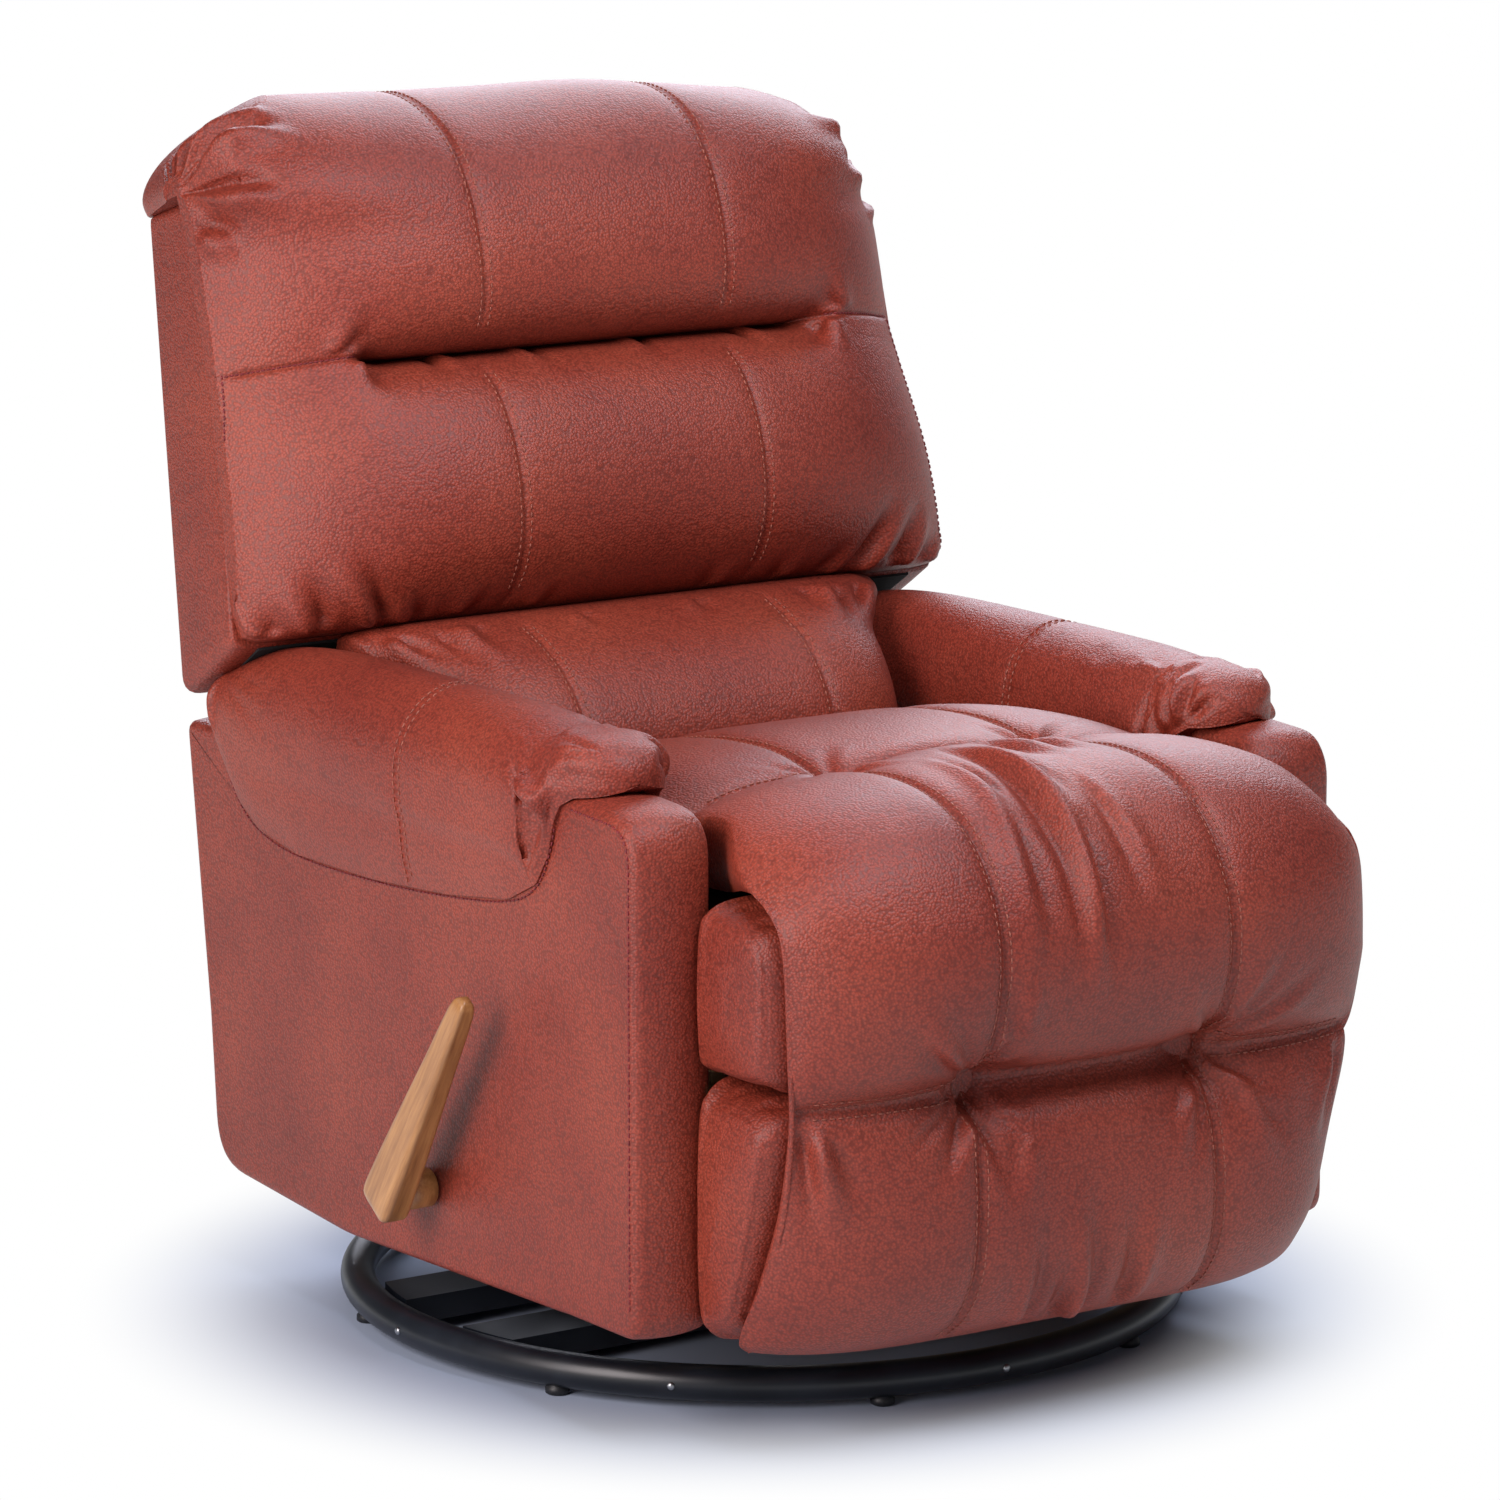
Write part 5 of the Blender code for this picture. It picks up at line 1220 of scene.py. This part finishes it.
def arm_cover(sunk):
    """The arm's outline carried from its inner to its outer face; the front post is padded 13 mm further in, and its
    front and top are crowned by 4 mm."""
    verts, faces = panel(arm_line, turned(ARM_IN, ARM_OUT, 0.011, 0.008, 0.0015), ARM_POINTS)
    front = verts[:ARM_POINTS, 0] < POST_SPLIT
    del faces[-2]               # the inner face is split in two, since the post stands further in
    faces += [np.flatnonzero(part).tolist() for part in (front | np.roll(front, 1) | np.roll(front, -1), ~front)]
    toward = np.clip((-0.226 - verts[:, 0]) / 0.010, 0, 1)
    verts[:, 2] -= POST_PAD * toward * (ARM_OUT - verts[:, 2]) / (ARM_OUT - ARM_IN)
    across = np.clip(1 - ((verts[:, 2] - 0.312) / 0.038) ** 2, 0, 1)
    verts[:, 1] += 0.004 * toward * across * np.clip((verts[:, 1] - 0.47) / 0.03, 0, 1)
    verts[:, 0] += (sunk - 0.004 * across) * np.clip((-0.30 - verts[:, 0]) / 0.03, 0, 1)
    verts[:, 1] -= sunk * toward * np.clip((verts[:, 1] - 0.44) / 0.05, 0, 1)
    return verts, faces


def on_side(side, line, out):
    """Points (y, z) of a line laid on the plane x = out of one arm, with their outward normals."""
    flat = np.full(len(line), side * out)
    return np.stack([flat, line[:, 0], line[:, 1]], 1), np.tile([side, 0.0, 0.0], (len(line), 1))


for side, word in ((-1, "right"), (1, "left")):
    verts, faces = arm_cover(SUNK[word])
    obj = piece(f"arm_cover_{word}_leather", verts[:, [2, 0, 1]] * (side, 1, 1), faces, leather)
    upholster(obj, "chassis", "arm_cover_" + word)
    edge_line = inward(even(arm_line, 900, True), 0.007)
    first = int(np.flatnonzero((edge_line[:, 0] < -0.247) & (edge_line[:, 1] > 0.49))[0])
    front = edge_line[first:]
    front[:, 0] += SUNK[word] * np.clip((-0.30 - front[:, 0]) / 0.03, 0, 1)
    front[:, 1] -= SUNK[word] * np.clip((front[:, 1] - 0.44) / 0.05, 0, 1)
    row = stitch_row(*on_side(side, front, ARM_OUT - 0.0002), **RED_STITCH)
    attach(piece(f"arm_stitching_{word}", *row, red_thread), "chassis")
    print(word, "arm panel is", round(obj.dimensions.y, 3), "m long")

# %% [markdown]
# The arm pad is a roll of foam along the arm. Its leather drapes over the outer side and ends in a curved seam on the
# panel. At the front the roll ends in a round nose that sits on the post, and the spare leather has to go somewhere:
# on the outside it is laid in one looped tuck with a hollow behind it, on the inside it fans up in pleats from the
# corner of the post. The pad is drawn as sections along the arm. q is the place on a section's leather, from 0 at the
# inner foot to 1 at the seam.

# %% Sections of the arm pads
PAD_IN, PAD_OUT, PAD_NOSE, PAD_CROWN = 0.251, 0.362, -0.281, 0.575
PAD_REAR = REAR_FRONT - 0.0015
NOSE_START, NOSE_TIP = -0.226, 0.530
SEAM_OUT = ARM_OUT + 0.0018     # x of the drape's seam, just proud of the panel


def pad_section(y):
    """The pad's section at one place along the arm, as points (x, z) round it."""
    u = min(1.0, max(0.0, (y - PAD_NOSE) / (PAD_REAR - PAD_NOSE)))
    nose = min(0.998, max(0.0, (NOSE_START - y) / (NOSE_START - PAD_NOSE)))
    bow = (1 - nose ** 2.4) ** (1 / 2.4)
    seam = float(np.interp(y, drape[:, 0], drape[:, 1]))
    foot = max(LEDGE + 0.0016, seam) if y < 0 else LEDGE + 0.0016
    under = math.sqrt(1 - min(0.998, max(0.0, (-0.246 - y) / (-0.246 - PAD_NOSE))) ** 2)
    crown = PAD_CROWN - 0.010 * u - 0.030 * u ** 10 - 0.009 * float(smooth(0.12, 0.25, -y))
    top = NOSE_TIP + (crown - NOSE_TIP) * bow
    if y < -0.25:
        foot = seam = NOSE_TIP - (NOSE_TIP - foot) * under
    middle = (PAD_IN + PAD_OUT) / 2 - 0.004 * nose
    plan = math.sqrt(1 - min(0.998, max(0.0, (-0.198 - y) / (-0.198 - PAD_NOSE))) ** 2)
    reach = (PAD_OUT - PAD_IN) / 2 * plan * (1 - (2 * u - 1) ** 24 * (u > 0.5)) ** (1 / 24)
    tall = top - foot
    on_post = float(smooth(0.215, 0.245, -y))
    out = SEAM_OUT + (middle + reach * 0.98 - SEAM_OUT) * on_post
    skin = [(middle - reach * (0.92 + 0.07 * on_post), foot), (middle - reach, foot + 0.30 * tall),
            (middle - reach * (0.97 - 0.04 * on_post), foot + 0.62 * tall),
            (middle - reach * 0.70, foot + 0.90 * tall), (middle, top), (middle + reach * 0.68, top - 0.09 * tall),
            (middle + reach * 0.98, seam + 0.68 * (top - seam)), (middle + reach, seam + 0.42 * (top - seam)),
            (max(out + 0.0015 * bow, middle + reach * 0.95), seam + 0.17 * (top - seam)), (out, seam)]
    below = np.array([(out, seam), (out - 0.003 * bow, seam + 0.002), (middle, max(foot, seam)), skin[0]])
    return np.concatenate([curve(skin, 0, closed=False)[::3], even(below, 21, False)[1:-1]])


print("a pad section has", len(pad_section(0.0)), "points")

# %% [markdown]
# The sections become a cover, with its folds, one seam across the pad where two hides meet, and its stitches. The left
# pad lies a little flatter, as its post does.

# %% Arm pads
SKIN = 73               # points of a section that lie on the visible leather
PAD_SEAM = -0.005       # y of the seam across the pad
PAD_FOLDS = (  # from y, q to y, q, width, depth, ridge side, bow, deepest at
    (-0.170, 0.600, -0.212, 0.940, 0.0064, 0.0155, 1.0, 0.017, 0.40),   # the looped tuck on the outer side
    (-0.186, 0.700, -0.202, 0.930, 0.0120, 0.0075, 0.0, 0.010, 0.60),   # the hollow behind it
    (-0.262, 0.560, -0.205, 0.520, 0.0075, 0.0040, 0.6, 0.0, 0.30),     # a crease over the nose
    (-0.236, 0.030, -0.194, 0.350, 0.0055, 0.0075, 0.6, 0.0, 0.25),     # pleats that fan up on the inner side
    (-0.240, 0.030, -0.214, 0.430, 0.0060, 0.0095, 0.6, 0.0, 0.30),
    (-0.246, 0.035, -0.246, 0.410, 0.0060, 0.0090, -0.6, 0.0, 0.30),
    (-0.252, 0.045, -0.270, 0.340, 0.0060, 0.0060, -0.5, 0.0, 0.25),
    (-0.228, 0.040, -0.170, 0.180, 0.0055, 0.0050, 0.8, 0.0, 0.25))


def arm_pad(side, word):
    ys = np.concatenate([PAD_NOSE + 0.09 * (1 - np.cos(np.linspace(0, np.pi / 2, 40, endpoint=False))),
                         np.linspace(-0.20, PAD_REAR, 60)])
    sections = np.array([pad_section(y) for y in ys])
    grid = np.stack([sections[:, :, 0], np.broadcast_to(ys[:, None], sections.shape[:2]), sections[:, :, 1]], 2)
    grid[:, :, 2] -= 1.2 * SUNK[word] * np.clip((grid[:, :, 2] - 0.44) / 0.07, 0, 1)
    rows, cols = grid.shape[:2]
    total = lengths(grid[rows * 2 // 3][:, [0, 2]], True)[-1]
    step = total / cols
    free = np.clip((grid[:, :, 2] - 0.435) / 0.03, 0, 1) * np.clip((PAD_REAR - 0.02 - grid[:, :, 1]) / 0.03, 0, 1)
    grid = inflate(grid, 1 - free, 0.5 * bell(grid[:, :, 1] + 0.20, 0.04), cap=0.004)
    centre = (PAD_NOSE + PAD_REAR) / 2
    chart_y = np.broadcast_to(ys[:, None] - centre, (rows, cols))
    places = clustered(250, (-0.86, -0.72), 0.10, 2.2)
    cover = Cover(grid, chart_y, np.arange(cols) * step, places, np.linspace(0, total, 210, endpoint=False))
    on_skin = (SKIN - 1) * step
    cover.seam(PAD_SEAM - centre, 0.04 * on_skin, 0.985 * on_skin, 0.0010, 0.004, 0.010)
    for y0, q0, y1, q1, *form in PAD_FOLDS:
        cover.fold(y0 - centre, q0 * on_skin, y1 - centre, q1 * on_skin, *form)
    cover.lift *= np.clip((on_skin + 0.004 - cover.v) / 0.01, 0, 1)[None]
    cover.press()
    flip = np.array([side, 1, 1])
    obj = piece(f"arm_pad_{word}_leather", *cover.shell(lambda g: g * flip), leather)
    upholster(obj, "chassis", "arm_pad_" + word, fill=0.8)
    vs = np.linspace(0.08 * on_skin, 0.97 * on_skin, 110)
    rows = []
    for aside in (-0.0045, 0.0045):
        points, ups = cover.trace(np.full(len(vs), PAD_SEAM - centre + aside), vs)
        rows.append(stitch_row(points * flip, ups * flip))
    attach(piece(f"arm_pad_stitching_{word}", *join(rows), rust_thread), "chassis")
    line = curve(drape[3:], 200, closed=False) - (0.0, 0.0015)
    red = stitch_row(*on_side(side, line, ARM_OUT + 0.0008), **RED_STITCH)
    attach(piece(f"arm_drape_stitching_{word}", *red, red_thread), "chassis")
    return obj


pads = [arm_pad(-1, "right"), arm_pad(1, "left")]
print("arm pads are", [round(o.dimensions.z, 3) for o in pads], "m tall")

# %% [markdown]
# The rear panel of the chassis is a plywood board in leather, as large as its solid, with its edges turned over.

# %% Rear panel
rear_low, rear_high = (np.array(corner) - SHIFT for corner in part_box("rear_cover"))
rear = rounded([(rear_low[0], rear_low[2], 0.008), (rear_high[0], rear_low[2], 0.008),
                (rear_high[0], rear_high[2], 0.010), (rear_low[0], rear_high[2], 0.010)])
verts, faces = panel(rear, turned(rear_low[1], rear_high[1], 0.003, 0.003))
rear_panel = piece("rear_cover_leather", verts[:, [0, 2, 1]], faces, leather)
upholster(rear_panel, "chassis", "rear_cover")
print("rear panel is", [round(c, 3) for c in rear_panel.dimensions], "m")

# %% [markdown]
# The base is a ring of bent steel tube. The solid is a little faceted, so a smooth tube stands for it. It rests on
# eight nylon glides, and eight screws with round heads sit in its outer side.

# %% Ring, glides and screws
RING_R, RING_TUBE, FOOT_H, FOOT_R = 0.350, 0.015, 0.0065, 0.010
RING_STEPS, TUBE_STEPS = 160, 24
ring_z = FOOT_H + RING_TUBE
a, b = np.meshgrid(np.linspace(0, 2 * np.pi, RING_STEPS, endpoint=False),
                   np.linspace(0, 2 * np.pi, TUBE_STEPS, endpoint=False), indexing="ij")
tube = np.stack([(RING_R + RING_TUBE * np.cos(b)) * np.cos(a), (RING_R + RING_TUBE * np.cos(b)) * np.sin(a),
                 ring_z + RING_TUBE * np.sin(b)], -1)
faces = [[i % (RING_STEPS * TUBE_STEPS) for i in face] for face in faces_of(RING_STEPS + 1, TUBE_STEPS)]
ring = piece("base_ring_tube", tube.reshape(-1, 3), faces, black_steel)
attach(ring, "base")
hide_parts("base_ring")


def turned_piece(profile, steps=24):
    """A (radius, height) profile turned about z."""
    a = np.arange(steps) * 2 * np.pi / steps
    grid = np.array([[(r * math.cos(k), r * math.sin(k), z) for k in a] for r, z in profile])
    faces = faces_of(len(profile), steps)
    return grid.reshape(-1, 3), faces


glide = turned_piece([(0.0, 0.0), (0.0075, 0.0), (FOOT_R, 0.0015), (FOOT_R, 0.006), (0.0085, 0.0075), (0.007, 0.011),
                      (0.0, 0.011)])
screw = turned_piece([(0.0, 0.0), (0.0035, 0.0), (0.0032, 0.0012), (0.0022, 0.0021), (0.0, 0.0024)], 16)
glides, screws = [], []
for k in range(8):
    angle = math.radians(27.5 + 45 * k)
    spot = np.array([RING_R * math.cos(angle), RING_R * math.sin(angle), 0.0])
    glides.append((glide[0] + spot, glide[1]))
    angle += math.radians(17)
    out = np.array([math.cos(angle), math.sin(angle), 0.0])
    side = np.array([-out[1], out[0], 0.0])
    turn = np.stack([side, np.array([0, 0, 1.0]), out])
    screws.append((screw[0] @ turn + out * (RING_R + RING_TUBE - 0.0006) + [0, 0, ring_z], screw[1]))
for name, parts, finish in (("base_glides", glides, nylon), ("base_screws", screws, zinc_steel)):
    obj = piece(name, *join(parts), finish)
    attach(obj, "base")
print("base has", len(glides), "glides and", len(screws), "screws")

# %% [markdown]
# The oak lever is a tapered bar with eased edges on a round hub, which leans forward beside the right arm. It is a row
# of rounded rectangles that narrow towards the tip.

# %% Lever
LEVER_OUT = 0.404               # how far its outer face stands from the chair's mid-plane
BAR_HALF_WIDE, BAR_HALF_THICK, BAR_POINTS = 0.021, 0.013, 48
way = np.array(LEVER_TIP) - np.array(LEVER)
size = np.linalg.norm(way)
way /= size
aside = np.array([way[1], -way[0]])
# along the bar, then its width and thickness as shares of the full ones
stations = np.array([(-0.0205, 0.35, 0.40), (-0.0185, 0.66, 0.72), (-0.014, 0.90, 0.92), (-0.006, 1.0, 1.0),
                     (0.030, 0.94, 0.98), (0.090, 0.78, 0.88), (0.150, 0.60, 0.76), (size - 0.025, 0.47, 0.67),
                     (size - 0.010, 0.40, 0.60), (size - 0.004, 0.32, 0.48), (size - 0.001, 0.20, 0.30)])
bar = curve(stations, 90, closed=False, measure=1)
rings = []
for along, wide, thick in bar:
    w, t = BAR_HALF_WIDE * wide, BAR_HALF_THICK * thick
    corner = rounded([(-w, -t, 0.55 * t), (w, -t, 0.55 * t), (w, t, 0.40 * t), (-w, t, 0.40 * t)], 5)
    middle = np.array(LEVER) + way * along
    corner = even(corner, BAR_POINTS, True)
    rings.append([(-(LEVER_OUT - BAR_HALF_THICK) - q, *(middle + aside * p)) for p, q in corner])
last = (len(bar) - 1) * BAR_POINTS
faces = faces_of(len(bar), BAR_POINTS) + [list(range(BAR_POINTS)), list(range(last, last + BAR_POINTS))]
hub = turned_piece([(0.0, ARM_OUT + 0.002), (0.0145, ARM_OUT + 0.002), (0.0165, ARM_OUT + 0.004),
                    (0.0165, LEVER_OUT - 0.016), (0.0, LEVER_OUT - 0.016)], 40)
hub_place = np.stack([-hub[0][:, 2], LEVER[0] + hub[0][:, 0], LEVER[1] + hub[0][:, 1]], 1)
lever = piece("lever_handle_oak", *join([(np.array(rings).reshape(-1, 3), faces), (hub_place, hub[1])]), oak)
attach(lever, "lever")
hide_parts("lever_handle")
print("lever is", round(float(size), 3), "m from hub to tip")

# %% [markdown]
# Four solids stay in view as they are, and have flat sides with hard edges: the two crossbars of the base, the lever's
# shaft and its bush. They are shaded flat, so that their edges stay crisp.

# %% Flat solids
FLAT = ("crossbar_front", "crossbar_rear", "lever_shaft", "lever_bush")
for node in FLAT:
    polygons = frame["nodes"][node].data.polygons
    polygons.foreach_set("use_smooth", [False] * len(polygons))
print("shaded flat:", ", ".join(FLAT))

# %% [markdown]
# The studio floor is painted a darker blue-grey near the chair, as painted shade, and the chair's real shadow falls on
# it too; further out it runs to white. That is what the camera, the shiny surfaces and clear ones see; to all other
# light the floor is plain pale paint.

# %% Floor
SHADOW_NEAR, SHADOW_FAR, FLOOR_HALF = 0.35, 0.60, 30
made = bpy.data.materials.new("studio_floor")
made.use_nodes = True
tree = made.node_tree
tree.nodes.clear()
rays = add(tree, "LightPath")
seen = add(tree, "Math", {0: rays.outputs["Is Camera Ray"], 1: rays.outputs["Is Glossy Ray"]}, operation="MAXIMUM")
seen = add(tree, "Math", {0: seen.outputs[0], 1: rays.outputs["Is Transmission Ray"]}, operation="MAXIMUM")
# painted shade: near the chair the floor is this darker blue-grey instead of the pale paint, fading to white between
# SHADOW_NEAR and SHADOW_FAR
painted_shade_grey = add(tree, "BsdfDiffuse", {"Color": linear("#a6b2c6")})
away = add(tree, "VectorMath", {0: add(tree, "TexCoord").outputs["Object"]}, operation="LENGTH")
far = add(tree, "MapRange", {"Value": away.outputs["Value"], "From Min": SHADOW_NEAR, "From Max": SHADOW_FAR},
          interpolation_type="SMOOTHSTEP")
blank = add(tree, "Emission", {"Color": (1.0, 1.0, 1.0, 1.0), "Strength": 1.0})
shown = add(tree, "MixShader", {0: far.outputs[0], 1: painted_shade_grey.outputs[0], 2: blank.outputs[0]})
pale = add(tree, "BsdfDiffuse", {"Color": linear("#e3e7ef")})
either = add(tree, "MixShader", {0: seen.outputs[0], 1: pale.outputs[0], 2: shown.outputs[0]})
add(tree, "OutputMaterial", {"Surface": either.outputs[0]})
floor_mesh = bpy.data.meshes.new("floor")
floor_mesh.from_pydata([(x * FLOOR_HALF, y * FLOOR_HALF, 0) for x, y in ((-1, -1), (1, -1), (1, 1), (-1, 1))], [],
                       [(0, 1, 2, 3)])
floor_mesh.materials.append(made)
floor = bpy.data.objects.new("floor", floor_mesh)
floor.location = Vector(SHIFT)
bpy.context.scene.collection.objects.link(floor)
print("floor is", 2 * FLOOR_HALF, "m wide")

# %% [markdown]
# The sky is white for the camera. For the chair it is only a weak, slightly cool fill light.

# %% Sky
sky = bpy.data.worlds.new("studio")
bpy.context.scene.world = sky
sky.use_nodes = True
tree = sky.node_tree
tree.nodes.clear()
rays = add(tree, "LightPath")
fill = add(tree, "Background", {"Color": linear("#e6ebf6"), "Strength": 0.13})
white = add(tree, "Background", {"Color": (1.0, 1.0, 1.0, 1.0), "Strength": 1.0})
both = add(tree, "MixShader", {0: rays.outputs["Is Camera Ray"], 1: fill.outputs[0], 2: white.outputs[0]})
add(tree, "OutputWorld", {"Surface": both.outputs[0]})
print("sky fill", fill.inputs["Strength"].default_value)

# %% [markdown]
# Three soft boxes: one above the knees, one at the chair's right and a large one behind it, which draws the pale gleam
# on the seat and on top of the head roll.

# %% Soft boxes


def soft_box(name, where, look, size, power, colour):
    """A rectangular lamp at one place that looks at another; power in watts."""
    light = bpy.data.lights.new(name, "AREA")
    light.shape = "RECTANGLE"
    light.size, light.size_y = size
    light.energy = power
    light.color = linear(colour)[:3]
    obj = bpy.data.objects.new(name, light)
    bpy.context.scene.collection.objects.link(obj)
    obj.location = where
    obj.rotation_euler = (Vector(where) - Vector(look)).to_track_quat("Z", "Y").to_euler()


soft_box("overhead_box", (0.1, -1.25, 2.4), (0.0, -0.35, 0.4), (1.5, 1.5), 54, "#f2f4ff")
soft_box("rear_box", (1.75, 2.3, 2.3), (0.0, 0.0, 0.5), (3.0, 2.5), 138, "#eef1ff")
soft_box("right_box", (-3.0, -0.8, 1.65), (0.0, 0.0, 0.4), (1.6, 2.2), 116, "#fff4f4")
